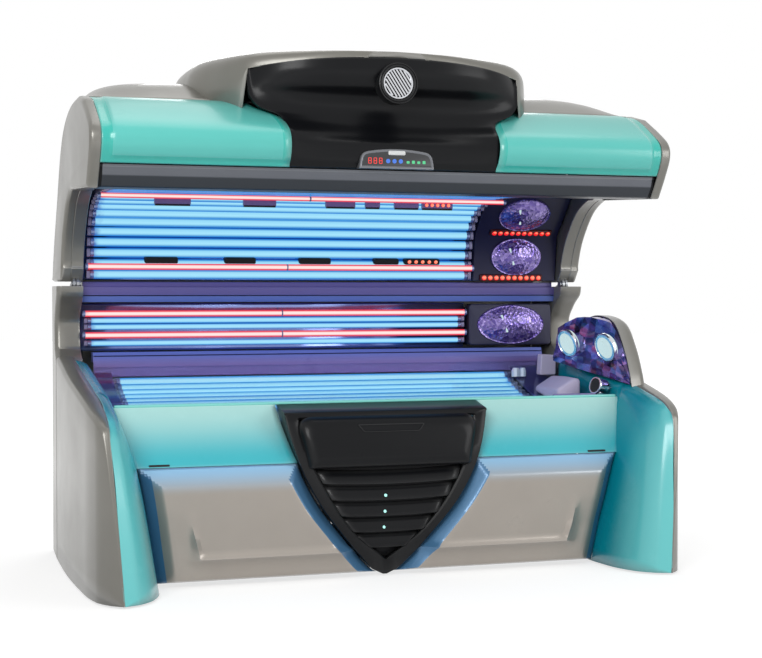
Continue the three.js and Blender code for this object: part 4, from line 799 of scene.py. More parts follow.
@dataclass(frozen=True)
class Lines:
    """Outlines that several sub-assemblies share."""

    floor: float = 0.008
    rear: float = 0.700
    inner_half: float = 1.0945
    cap_half: float = 1.1455
    column_start: float = 0.40
    column_inner: float = 1.095
    fascia_seam: Point = (-0.390, 0.468)
    fascia_top: Point = (-0.260, 0.690)
    wing: tuple[Point, ...] = (
        (-0.700, 0.008), (-0.678, 0.300), (-0.638, 0.585), (-0.595, 0.657), (-0.475, 0.703),
        (-0.220, 0.757), (0.050, 0.802), (0.314, 0.848), (0.420, 0.866),
    )
    bow: tuple[Point, ...] = (
        (-0.700, 1.100), (-0.657, 1.145), (-0.577, 1.184), (-0.430, 1.203), (0.0, 1.215),
        (0.350, 1.208), (0.700, 1.190),
    )
    liner: tuple[Point, ...] = ((0.0, 0.919), (0.468, 1.000), (0.690, 1.070))
    shield: tuple[Point, ...] = (
        (0.008, 0.010), (0.025, 0.047), (0.070, 0.094), (0.180, 0.190), (0.310, 0.290),
        (0.468, 0.372), (0.600, 0.412), (0.692, 0.430),
    )
    shield_depth: tuple[Point, ...] = (
        (0.008, -0.352), (0.140, -0.392), (0.378, -0.428), (0.468, -0.424), (0.664, -0.385),
    )
    cap_back: tuple[Point, ...] = (
        (0.690, 0.0), (0.625, 0.150), (0.500, 0.347), (0.383, 0.532), (0.249, 0.640),
        (0.046, 0.698), (-0.190, 0.709),
    )
    cap_nose: tuple[Point, ...] = (
        (-0.300, 0.684), (-0.421, 0.619), (-0.500, 0.565), (-0.512, 0.505), (-0.474, 0.431),
        (-0.415, 0.343),
    )
    cap_inside: tuple[Point, ...] = (
        (0.040, 0.362), (0.096, 0.358), (0.206, 0.305), (0.311, 0.189), (0.358, 0.088), (0.360, 0.054),
    )
    console: tuple[Point, ...] = (
        (0.433, 0.425), (0.565, 0.428), (0.632, 0.445), (0.672, 0.527), (0.720, 0.559), (0.820, 0.567),
    )
    bench: tuple[Point, ...] = (
        (-0.246, 0.690), (-0.150, 0.662), (0.020, 0.656), (0.200, 0.692), (0.350, 0.748), (0.440, 0.808),
    )
    mirror: tuple[Point, ...] = (
        (0.446, 0.006), (0.436, 0.120), (0.404, 0.240), (0.330, 0.330), (0.200, 0.388), (0.0, 0.408),
        (-0.278, 0.404),
    )

    def ridge(self, z: float) -> float:
        """Reach of the joint between end cover and liner, at a height."""
        return self.column_inner + 0.042 * min(1.0, z / 0.60)

    def wing_line(self, steps: int = 72) -> Line:
        """The wing's edge from the floor to the column."""
        line = [p for p in spline(self.wing, steps) if p[0] < self.column_start]
        return [*line, (self.column_start, reading(self.wing, self.column_start))]

    def wing_front(self, z: float) -> float:
        """Foremost place of the wing at a height."""
        return reading([(z0, y) for y, z0 in self.wing], z)

    def front_slope(self, z: float) -> float:
        """Depth of the fascia and of the front panels' border at a height."""
        if z > self.fascia_seam[1]:
            share = (z - self.fascia_seam[1]) / (self.fascia_top[1] - self.fascia_seam[1])
            return self.fascia_seam[0] + (self.fascia_top[0] - self.fascia_seam[0]) * share
        return -0.335 - 0.055 * (z - 0.015) / 0.448

    def cap_loop(self) -> Line:
        """Outline of the canopy's end caps."""
        return [
            *spline(self.cap_back, 44), *spline(self.cap_nose, 30), *spline(self.cap_inside, 28),
            (self.column_start, 0.0),
        ]


def lamp_places(line: Sequence[Point], radius: float, pitch: float) -> Line:
    """Where the lamps of a bank stand along a line."""
    length = run_length(line)
    count = int((length - 2 * radius) / pitch) + 1
    start = (length - pitch * (count - 1)) / 2
    return [along(line, start + pitch * i) for i in range(count)]


# Sub-assemblies

@dataclass
class Assembly:
    """A sub-assembly: what it is made from, and the body that it rides on."""

    shop: PaintShop
    lines: Lines
    body: str = "root"

    def fit(
        self, shape: Shape, name: str, finishes: Sequence[Finish], *nodes: str,
        body: str | None = None, **cut: object,
    ) -> None:
        """Makes a piece and seats it.

        Args:
            shape: its points and faces.
            name: its name.
            finishes: its finishes, by kind.
            nodes: the nodes that it stands for.
            body: the body that it moves with, where that isn't the sub-assembly's own.
            cut: its wall, edge, facing and shading, as Shape.build takes them.
        """
        piece = shape.build(name, self.shop, finishes, **cut)
        seat(piece, body or self.body, finishes[0], *nodes)


@dataclass
class LampWall(Assembly):
    """A sub-assembly that carries lamps between two ends."""

    left: float = -1.080
    right: float = 0.660
    tube: float = 0.019
    pitch: float = 0.046
    cap: float = 0.016
    block: float = 0.014

    def tubes(
        self, name: str, node: str, radius: float, places: Line, glow: Finish = Finish.BLUE_LAMP
    ) -> None:
        """Makes a row of lamps with metal caps and a holder block at each end.

        Args:
            name: name of the pieces.
            node: the node that they stand for.
            radius: radius of a lamp.
            places: (y, z) of each lamp.
            glow: finish of the glass.
        """
        glass, ends = Shape(), Shape()
        wide = radius * 1.02
        profile = [(radius * 0.6, 0.0), (wide, 0.002), (wide, self.cap), (radius * 0.98, self.cap + 0.002)]
        for y, z in places:
            glass.rod((self.left + self.cap, y, z), (self.right - self.cap, y, z), radius, 24)
            for x, way in ((self.left + self.block, 1), (self.right - self.block, -1)):
                ends.spun(profile, (x, y, z), (way, 0, 0), 20)
                holder = rounded_box(y - radius, z - radius, y + radius, z + radius, 0.006, 3)
                ends.prism(holder, Across.X, x - self.block * (way > 0), x + self.block * (way < 0), 1)
        self.fit(glass, name, [glow], node)
        self.fit(ends, f"{name}_caps", [Finish.LAMP_CAP, Finish.VIOLET])

    def red_tubes(self, name: str, node: str, places: Line) -> None:
        """Makes thin red lamps with a dark joint at mid length and end feet.

        Args:
            name: name of the pieces.
            node: the node that they stand for.
            places: (y, z) of each lamp.
        """
        glass, feet = Shape(), Shape()
        left, right = self.left - 0.009, self.right + 0.009
        middle = (left + right) / 2
        for y, z in places:
            radius = 0.010 if z > CANOPY_BOTTOM + 0.3 else 0.0135
            glass.rod((left + 0.006, y, z), (right - 0.006, y, z), radius, 24)
            feet.rod((middle - 0.006, y, z), (middle + 0.006, y, z), radius + 0.0007, 16)
            for x in (left, right - 0.016):
                feet.rod((x, y, z), (x + 0.016, y, z), radius + 0.001, 16, 1)
        self.fit(glass, name, [Finish.RED_LAMP], node)
        self.fit(feet, f"{name}_feet", [Finish.VIOLET, Finish.LAMP_CAP])

    def facial_lamp(
        self, name: str, node: str, centre: Sequence[float], facing: Sequence[float], reach: Point
    ) -> None:
        """Makes an oval facial lamp: a hammered glass that bulges from its rim, with the burner's streak.

        Args:
            name: name of the pieces.
            node: the node that they stand for.
            centre: middle of the rim.
            facing: the way that the glass looks.
            reach: half width and half height of the rim.
        """
        way, middle = Vector(facing).normalized(), Vector(centre)
        wide = Vector((reach[0], 0, 0))
        tall = way.cross(Vector((1, 0, 0))).normalized() * reach[1]
        profile = [(1.04, -0.008), (1.06, 0.001), (1.04, 0.006), (1.0, 0.004)]
        profile += [(s, 0.003 + 0.026 * (1 - s * s)) for s in (0.96, 0.86, 0.74, 0.6, 0.45, 0.3, 0.15, 0.02)]
        angles = [2 * math.pi * i / 48 for i in range(48)]
        glass = Shape()
        glass.loft([
            [middle + (wide * math.cos(a) + tall * math.sin(a)) * r + way * d for a in angles]
            for r, d in profile
        ])
        self.fit(glass, f"{name}_glass", [Finish.BOWL], node, smooth=50)
        streak, ends = Shape(), ((-0.34, 0.5, 0.0185), (-0.16, -0.42, 0.0225))
        start, end = (middle + wide * u + tall * v + way * d for u, v, d in ends)
        streak.rod(start, end, 0.0055, 14)
        self.fit(streak, f"{name}_burner", [Finish.SHOULDER])


# Lower half

@dataclass
class LowerShell(Assembly):
    """End covers, wing liners, fascia, front panels and back cover."""

    wall: float = 0.004
    corner: float = 0.016
    panel_rise: float = 0.062
    panel_bevel: float = 0.070
    panel_top: float = 0.4665
    panel_foot: float = 0.016
    panel_bottom: float = 0.015
    fold_high: float = 0.112
    fold_in: float = 0.165
    liner_low: float = 0.64
    liner_front: float = -0.27
    liner_back: float = 0.34

    def build(self) -> None:
        """Makes both sides and the back."""
        for side in (RIGHT, LEFT):
            self.end_cover(side)
            self.liner(side)
            self.fascia(side)
            self.front_panel(side)
        self.back_cover()

    def end_cover(self, side: int) -> None:
        """Makes an end cover: its wing's ribbon and side, and its column."""
        shape, lines = Shape(), self.lines
        rows = []
        for y, z in lines.wing_line():
            ridge, bow = lines.ridge(z), reading(lines.bow, y)
            r = min(self.corner, 0.45 * (bow - ridge), 0.4 * (z - lines.floor))
            flat = bow - r - ridge
            row = [(ridge + flat * s, z + 0.003 * math.sin(math.pi * s)) for s in (0, 0.35, 0.7, 1)]
            for angle in (22.5, 45, 67.5, 90):
                turn = math.radians(angle)
                row.append((bow - r + r * math.sin(turn), z - r + r * math.cos(turn)))
            row += [(bow, h) for h in steps_between(z - r, lines.floor, 8)[1:]]
            rows.append([(side * x, y, h) for x, h in row])
        shape.grid(rows)
        front = (
            (0.0, 0.400), (0.840, 0.400), (0.866, 0.425), (0.895, 0.468), (1.000, 0.482), (1.075, 0.430),
            (1.130, 0.367), (1.160, 0.362),
        )
        rings = []
        for z in (*steps_between(0.008, 0.83, 6), *steps_between(0.845, 1.158, 26), 1.160):
            rings.append([(side * x, y, z) for x, y in self.column_ring(reading(front, z))])
        shape.grid(rings, wrap=True)
        name = SIDE_NAMES[side]
        self.fit(
            shape, f"end_cover_{name}", [Finish.SILVER], f"lower_end_{name}", wall=self.wall,
            out=(side, -0.4, 0.3),
        )

    def column_ring(self, front: float) -> Line:
        """Plan of the column at one height.

        Args:
            front: where its front edge stands.

        Returns:
            The closed outline, from its inner front corner round the outside.
        """
        inner, rear = self.lines.column_inner, self.lines.rear
        outer = reading(self.lines.bow, front)
        ring = [(inner, front + 0.012), (inner + 0.003, front + 0.003), (inner + 0.012, front)]
        for angle in steps_between(0, 90, 5):
            turn = math.radians(angle)
            x = outer - 0.022 * (1 - math.sin(turn))
            ring.append((x, front + 0.022 * (1 - math.cos(turn))))
        for y in steps_between(front + 0.03, rear - 0.03, 7):
            ring.append((reading(self.lines.bow, y), y))
        for angle in steps_between(0, 90, 4):
            turn = math.radians(angle)
            ring.append((1.190 - 0.024 * (1 - math.cos(turn)), rear - 0.024 * (1 - math.sin(turn))))
        return [*ring, (inner, rear)]

    def liner(self, side: int) -> None:
        """Makes a wing liner: a face that rounds over to the ridge at its front and top."""
        lines = self.lines
        inward = ((0.0, 0.0), (0.004, 0.06), (0.025, 0.33), (0.092, 0.68), (0.205, 0.91), (0.345, 1.0))
        rows = []
        for y, top in lines.wing_line():
            if y > self.liner_back:
                continue
            low = lines.floor if y < self.liner_front else self.liner_low
            row = []
            for share in steps_between(0, 1, 26):
                z = low + (top - low) * (1 - (1 - share) ** 2)
                face, ridge = reading(lines.liner, z), lines.ridge(z) - 0.0008
                depth = max(0.0, y - lines.wing_front(min(z, top)))
                row.append((side * (ridge - (ridge - face) * reading(inward, depth)), y, z))
            rows.append(row)
        name = SIDE_NAMES[side]
        self.fit(
            Shape().grid(rows), f"wing_lining_{name}", [Finish.TEAL_LINER], f"wing_liner_{name}",
            wall=self.wall, out=(-side, -0.3, 0.1),
        )

    def fascia(self, side: int) -> None:
        """Makes a fascia panel with turned-in lips and the dark slot near its outer end."""
        lines = self.lines
        (y0, z0), (y1, z1) = lines.fascia_seam, lines.fascia_top
        rows = []
        for v in (-0.06, -0.03, 0.0, *steps_between(0.04, 0.96, 8), 1.0, 1.04):
            share = min(max(v, 0.0), 1.0)
            z = z0 + (z1 - z0) * share
            y = y0 + (y1 - y0) * share - 0.005 * math.sin(math.pi * share)
            y += 0.04 if v < -0.04 else 0.012 if v < 0 or v > 1 else 0.0
            inner, outer = reading(lines.shield, z) + 0.001, reading(lines.liner, z) + 0.016
            rows.append([(side * x, y, z) for x in steps_between(inner, outer, 24)])
        name = SIDE_NAMES[side]
        self.fit(
            Shape().grid(rows), f"front_fascia_{name}", [Finish.TEAL_FASCIA], f"fascia_{name}",
            wall=self.wall, out=(0, -1, 0.6),
        )
        near, far = sorted((side * 0.875, side * 0.955))
        slot = Shape().prism(rounded_box(near, 0.4715, far, 0.4795, 0.003, 3), Across.Y, -0.3885, -0.384)
        self.fit(slot, f"fascia_slot_{name}", [Finish.BLACK_PART])

    def front_panel(self, side: int) -> None:
        """Makes a front panel: a raised field, slanted borders and a folded lower corner, with the lamps'
        blue light painted on its borders.
        """
        lines = self.lines
        top, bottom, bevel = self.panel_top, self.panel_bottom, self.panel_bevel
        heights = [
            *steps_between(bottom, bottom + self.panel_foot, 4),
            *steps_between(0.038, top - bevel - 0.008, 28), *steps_between(top - bevel, top, 8),
        ]
        rows = []
        for z in heights:
            inner, outer = reading(lines.shield, z) + 0.002, reading(lines.liner, z) - 0.001
            reach = outer - inner
            places = [
                *steps_between(0, bevel, 7), *steps_between(bevel + 0.008, reach - bevel - 0.008, 34),
                *steps_between(reach - bevel, reach, 7),
            ]
            row = []
            for place in places:
                rise = min(
                    place / bevel, (reach - place) / bevel, (top - z) / bevel, (z - bottom) / self.panel_foot
                )
                out = self.panel_rise * self.eased(rise) + self.fold(inner + place, z, outer)
                row.append((side * (inner + place), lines.front_slope(z) - out, z))
            rows.append(row)
        shape, columns = Shape().grid(rows), len(rows[0]) - 1
        shape.faces = [
            (face, self.flank_kind(i % columns, columns - 1, heights[i // columns]))
            for i, (face, _) in enumerate(shape.faces)
        ]
        name = SIDE_NAMES[side]
        self.fit(
            shape, f"front_pressing_{name}", [Finish.PANEL, Finish.LAMPLIT_FLANK], f"front_panel_{name}",
            wall=self.wall, out=(0, -1, 0), smooth=30,
        )

    def flank_kind(self, column: int, last: int, z: float) -> int:
        """Which finish a face of a front panel takes.

        Args:
            column: the face's column, from the shield outwards.
            last: the outermost column.
            z: height of its lower edge.

        Returns:
            1 on the borders that the lamps light blue, 0 elsewhere.
        """
        border = 7 * (self.panel_top - z) / self.panel_bevel
        return int(column < min(7, border) or last - column < min(4, border))

    @staticmethod
    def eased(rise: float) -> float:
        """A border's rise with its crease softened."""
        return rise if rise < 0.88 else min(1.0, 0.88 + 0.12 * math.tanh((rise - 0.88) / 0.12))

    def fold(self, x: float, z: float, outer: float) -> float:
        """The ridge along the lower edge that turns up at the outer corner, and the facet beyond it."""
        below, past = self.fold_high - z, x - (outer - self.fold_in)
        beyond = max(below, past)
        near = max(below, 0.0) + max(past, 0.0)
        fade = min(1.0, max(0.0, (0.30 - z) / 0.12))
        ridge = 0.016 * math.exp(-((beyond / 0.012) ** 2))
        return fade * (ridge - 0.2 * min(near, 0.05))

    def back_cover(self) -> None:
        """Makes the back cover with three pressed fields, a folded top and rows of vents."""
        half, low, high, rear = self.lines.inner_half, 0.065, 1.158, self.lines.rear
        bays = (-0.735, 0.0, 0.735)
        edges = (-0.33, -0.322, 0.0, 0.322, 0.33)
        xs = sorted({round(b + e, 4) for b in bays for e in edges} | {-half, half})
        zs = [low, 0.12, 0.128, 0.6, 1.092, 1.10, high]

        def pressed(x: float, z: float) -> float:
            """Depth of the sheet: fields stand 6 mm back from the rim."""
            inside = any(abs(x - b) < 0.323 for b in bays) and 0.125 < z < 1.095
            return rear - (0.006 if inside else 0.0)

        rows = [[(x, pressed(x, z), z) for x in xs] for z in zs]
        rows.append([(x, rear - 0.024, high) for x in xs])
        self.fit(
            Shape().grid(rows), "back_sheet", [Finish.SILVER], "back_cover", wall=0.002, edge=0.002,
            out=(0, 1, 0.05), smooth=25,
        )
        vents = Shape()
        for bay in bays:
            for row in range(9):
                z = 0.86 + 0.024 * row
                slot = rounded_box(bay - 0.12, z, bay + 0.12, z + 0.01, 0.005, 3)
                vents.prism(slot, Across.Y, 0.690, 0.6965)
        self.fit(vents, "back_vents", [Finish.BLACK_PART], edge=0.001)


@dataclass
class CentreConsole(Assembly):
    """The black shield on the front: frame, bulged cover, louvres and their lights."""

    top: float = 0.664
    opening_top: float = 0.638
    opening_low: float = 0.070
    cover_low: float = 0.446
    bulge: float = 0.034
    slats: int = 5
    louvre_high: float = 0.458
    louvre_low: float = 0.076
    opening: tuple[Point, ...] = (
        (0.070, 0.0), (0.180, 0.138), (0.310, 0.238), (0.468, 0.320), (0.600, 0.360), (0.638, 0.367),
    )

    def build(self) -> None:
        """Makes every piece of the shield."""
        self.frame()
        self.cover()
        self.louvres()

    def depth(self, z: float) -> float:
        """Depth of the shield's face at a height."""
        return reading(self.lines.shield_depth, z)

    def frame(self) -> None:
        """Makes the frame, a strip of loops from the fascia into the opening, and the bench's front lip."""
        lines = self.lines
        heights = [self.top - (self.top - lines.floor) * (i / 34) for i in range(35)]
        span = (self.opening_top - self.opening_low) / (self.top - lines.floor)
        loops: list[list[Spot]] = [[] for _ in range(7)]
        path = [(s, self.top, True) for s in steps_between(-0.998, 0.998, 16)]
        path += [(1.0, z, False) for z in heights] + [(-1.0, z, False) for z in reversed(heights)]
        for share, z, on_top in path:
            half = reading(lines.shield, z) * share
            hole_z = self.opening_low + (z - lines.floor) * span
            hole = reading(self.opening, hole_z) * share
            way = 1 if share > 0 else -1
            back_y, back_z = lines.fascia_top if on_top else (lines.front_slope(z) + 0.004, z)
            draw = 0.0 if on_top else way
            face, inside = self.depth(z), self.depth(hole_z)
            drop = 0.006 if on_top else 0.0
            grow = min(0.006, abs(half) * 0.3)
            shares = [
                (half, back_y, back_z),
                (half, face + 0.008, z + 0.002 * on_top),
                (half - draw * 0.3 * grow, face + 0.002, z - 0.3 * drop),
                (half - draw * grow, face, z - drop),
                (hole + draw * 0.008, inside - 0.001, hole_z + 0.008 * on_top),
                (hole, inside + 0.005, hole_z),
                (hole, inside + 0.034, hole_z),
            ]
            for loop, point in zip(loops, shares):
                loop.append(point)
        shape = Shape().grid(loops, wrap=True)
        self.fit(shape, "shield_frame", [Finish.BLACK], "console_frame", wall=0.003, out=(0, -1, 0.1))
        lip = Shape()
        lip.rod((-1.066, -0.256, 0.694), (1.066, -0.256, 0.694), 0.0065, 14)
        self.fit(lip, "bench_front_lip", [Finish.TEAL_EDGE])

    def cover(self) -> None:
        """Makes the bulged cover with large upper corners and the grip slot near its top."""
        low, high = self.cover_low, self.opening_top + 0.010
        a, b = reading(self.opening, low) + 0.024, reading(self.opening, self.opening_top) + 0.014
        corners = [(-a, low), (a, low), (b, high), (-b, high)]
        rings = []
        bulge = (
            (0.002, 0.001), (0.0, 0.004), (0.003, 0.014), (0.010, 0.024), (0.024, self.bulge), (0.05, 0.036),
        )
        for draw, out in bulge:
            ring = self.cover_outline(offset(corners, draw, closed=True))
            rings.append([(x, self.depth(z) - out, z) for x, z in ring])
        self.fit(Shape().loft(rings), "shield_cover", [Finish.BLACK], "console_cover", smooth=50)
        outer = rounded([(-0.115, 0.586), (0.115, 0.586), (0.14, 0.616), (-0.14, 0.616)], 0.008, 3)
        grip = Shape().loft([
            [(x, self.depth(z) - out, z) for x, z in offset(outer, draw, closed=True)]
            for draw, out in ((0.0, 0.034), (0.0, 0.0385), (0.003, 0.0395), (0.004, 0.0372), (0.008, 0.0368))
        ])
        self.fit(grip, "shield_grip", [Finish.BLACK_PART])

    @staticmethod
    def cover_outline(corners: Sequence[Point]) -> Line:
        """The cover's outline: small corners below, large ones above."""
        low = rounded(corners, 0.012, 4)
        high = rounded(corners, 0.070, 8)
        return [*low[:10], *high[18:]]

    def louvres(self) -> None:
        """Makes the slats with rolled lips, the dark plate behind them and three lights."""
        shape = Shape()
        pitch = (self.louvre_high - self.louvre_low - 0.06) / self.slats
        profile = (
            (0.027, 0.30), (0.016, 0.10), (0.006, -0.12), (0.000, -0.30), (0.001, -0.36), (0.006, -0.375),
            (0.010, -0.33),
        )
        for i in range(self.slats):
            middle = self.louvre_high - pitch * (i + 0.72)
            rows = []
            for back, rise in profile:
                z = middle + rise * pitch * 1.25
                half = reading(self.opening, z) - 0.002
                rows.append([
                    (x, self.depth(z) + back + 0.001, z + 0.010 * (x / 0.3) ** 2 - 0.004)
                    for x in steps_between(-half, half, 20)
                ])
            shape.grid(rows)
        self.fit(
            shape, "shield_louvres", [Finish.BLACK], "console_louvres", wall=0.004, out=(0, -1, 0.4),
            smooth=60,
        )
        plate = Shape().grid([
            [(x * max(0.004, reading(self.opening, z) - 0.001), self.depth(z) + 0.030, z)
             for x in steps_between(-1, 1, 6)]
            for z in steps_between(self.louvre_low - 0.004, self.opening_top, 20)
        ])
        self.fit(plate, "louvre_back", [Finish.BLACK_PART], wall=0.002, out=(0, -1, 0))
        lights = Shape()
        dome = [(0.0075, 0.0), (0.0072, 0.003), (0.005, 0.0058), (0.0015, 0.007)]
        for i in (1, 2, 3):
            z = self.louvre_high - pitch * (i + 0.98)
            lights.spun(dome, (-0.02, self.depth(z) + 0.010, z), (0, -1, 0), 16)
        self.fit(lights, "shield_lights", [Finish.LED_TEAL])


@dataclass
class Bench(LampWall):
    """The clear bench sheet, the lamps under it, their reflector and the end trims."""

    left: float = -0.970
    right: float = 0.860
    half: float = 1.045
    sheet: float = 0.008

    def build(self) -> None:
        """Makes the bench."""
        line = spline(self.lines.bench, 12)
        fine = spline(self.lines.bench, 48)
        top = offset(fine, self.sheet)
        shape = Shape().prism([*fine, *reversed(top)], Across.X, -self.half, self.half)
        self.fit(shape, "bench_acrylic", [Finish.ACRYLIC], "bench_sheet", edge=0.002, smooth=50)
        places = lamp_places(offset(line[1:-1], -0.0345), self.tube, self.pitch)
        self.tubes("bench_tubes", "bench_lamps", self.tube, places, Finish.BENCH_LAMP)
        back = Shape().grid([
            [(x, y, z) for x in (-self.half, self.half)] for y, z in offset(fine[4:-4], -0.068)
        ])
        self.fit(back, "bench_mirror", [Finish.MIRROR], "bench_reflector", wall=0.002, out=(0, 0, 1))
        trim = Shape()
        section = [*offset(fine[3:-3], -0.002), *reversed(offset(fine[3:-3], -0.010))]
        for x0, x1 in ((-self.half, self.left - 0.002), (self.right + 0.002, self.half)):
            trim.prism(section, Across.X, x0, x1)
        self.fit(trim, "bench_end_trims", [Finish.VIOLET], edge=0.002, smooth=50)


@dataclass
class SideTanner(LampWall):
    """The rear wall of the lower half: reflector, lamps, trims and the side facial lamp."""

    facial_at: Point = (0.8832, 0.985)

    def build(self) -> None:
        """Makes the rear wall."""
        half = self.lines.inner_half
        profile = spline([(0.512, 0.882), (0.516, 0.984), (0.505, 1.086)], 12)
        wall = Shape().grid([[(x, y, z) for x in (-half, 0.670)] for y, z in profile])
        self.fit(wall, "side_mirror", [Finish.MIRROR], "side_reflector", wall=0.002, out=(0, -1, 0))
        places = [(0.486, z) for z in (1.012, 0.985, 0.915)]
        self.tubes("side_tubes", "side_blue_lamps", 0.012, places)
        self.red_tubes("side_red_tubes", "side_red_lamps", [(0.468, 1.042), (0.468, 0.950)])
        self.trim("side_band_upper", "side_trim_upper", half, Finish.BAND, [
            (0.444, 1.092), (0.436, 1.120), (0.434, 1.156), (0.522, 1.156), (0.522, 1.092),
        ])
        self.trim("side_band_lower", "side_trim_lower", 1.045, Finish.BAND_LOW, [
            (0.456, 0.834), (0.463, 0.860), (0.470, 0.876), (0.518, 0.876), (0.518, 0.834),
        ])
        seals = Shape()
        seals.prism(rounded_box(0.452, 1.154, 0.500, 1.180, 0.004, 3), Across.X, -1.09, 1.09)
        lower = [(0.447, 0.770), (0.456, 0.770), (0.462, 0.838), (0.453, 0.838)]
        seals.prism(lower, Across.X, -1.044, 1.044, 1)
        self.fit(seals, "seam_seals", [Finish.BAND, Finish.BAND_LOW], edge=0.001)
        x, z = self.facial_at
        self.facial_lamp("side_facial", "side_facial_lamp", (x, 0.454, z), (0, -1, 0), (0.158, 0.086))
        outer = rounded_box(0.678, 0.89, 1.0885, 1.08, 0.02, 4)
        start = min(range(len(outer)), key=lambda i: math.dist(outer[i], (1.0885, z)))
        outer = outer[start:] + outer[:start]
        angles = [2 * math.pi * i / len(outer) for i in range(len(outer))]
        hole = [(x + 0.160 * math.cos(a), z + 0.087 * math.sin(a)) for a in angles]
        loops = (
            (outer, 0.510), (outer, 0.458), (offset(outer, 0.004, True), 0.454), (hole, 0.4535),
            (hole, 0.472),
        )
        frame = Shape().grid([[(u, y, v) for u, v in loop] for loop, y in loops], wrap=True)
        self.fit(frame, "side_facial_frame", [Finish.NAVY], wall=0.002, out=(0, -1, 0))

    def trim(self, name: str, node: str, half: float, finish: Finish, profile: Sequence[Point]) -> None:
        """Makes a trim along the wall with a fine dark line on its face.

        Args:
            name: the piece's name.
            node: the node that it stands for.
            half: its half length.
            finish: its finish.
            profile: its (y, z) section.
        """
        shape = Shape().prism(profile, Across.X, -half, half)
        y, z = profile[1]
        shape.rod((-half + 0.002, y, z), (half - 0.002, y, z), 0.0025, 8, 1)
        self.fit(shape, name, [finish, Finish.NAVY], node, edge=0.003)


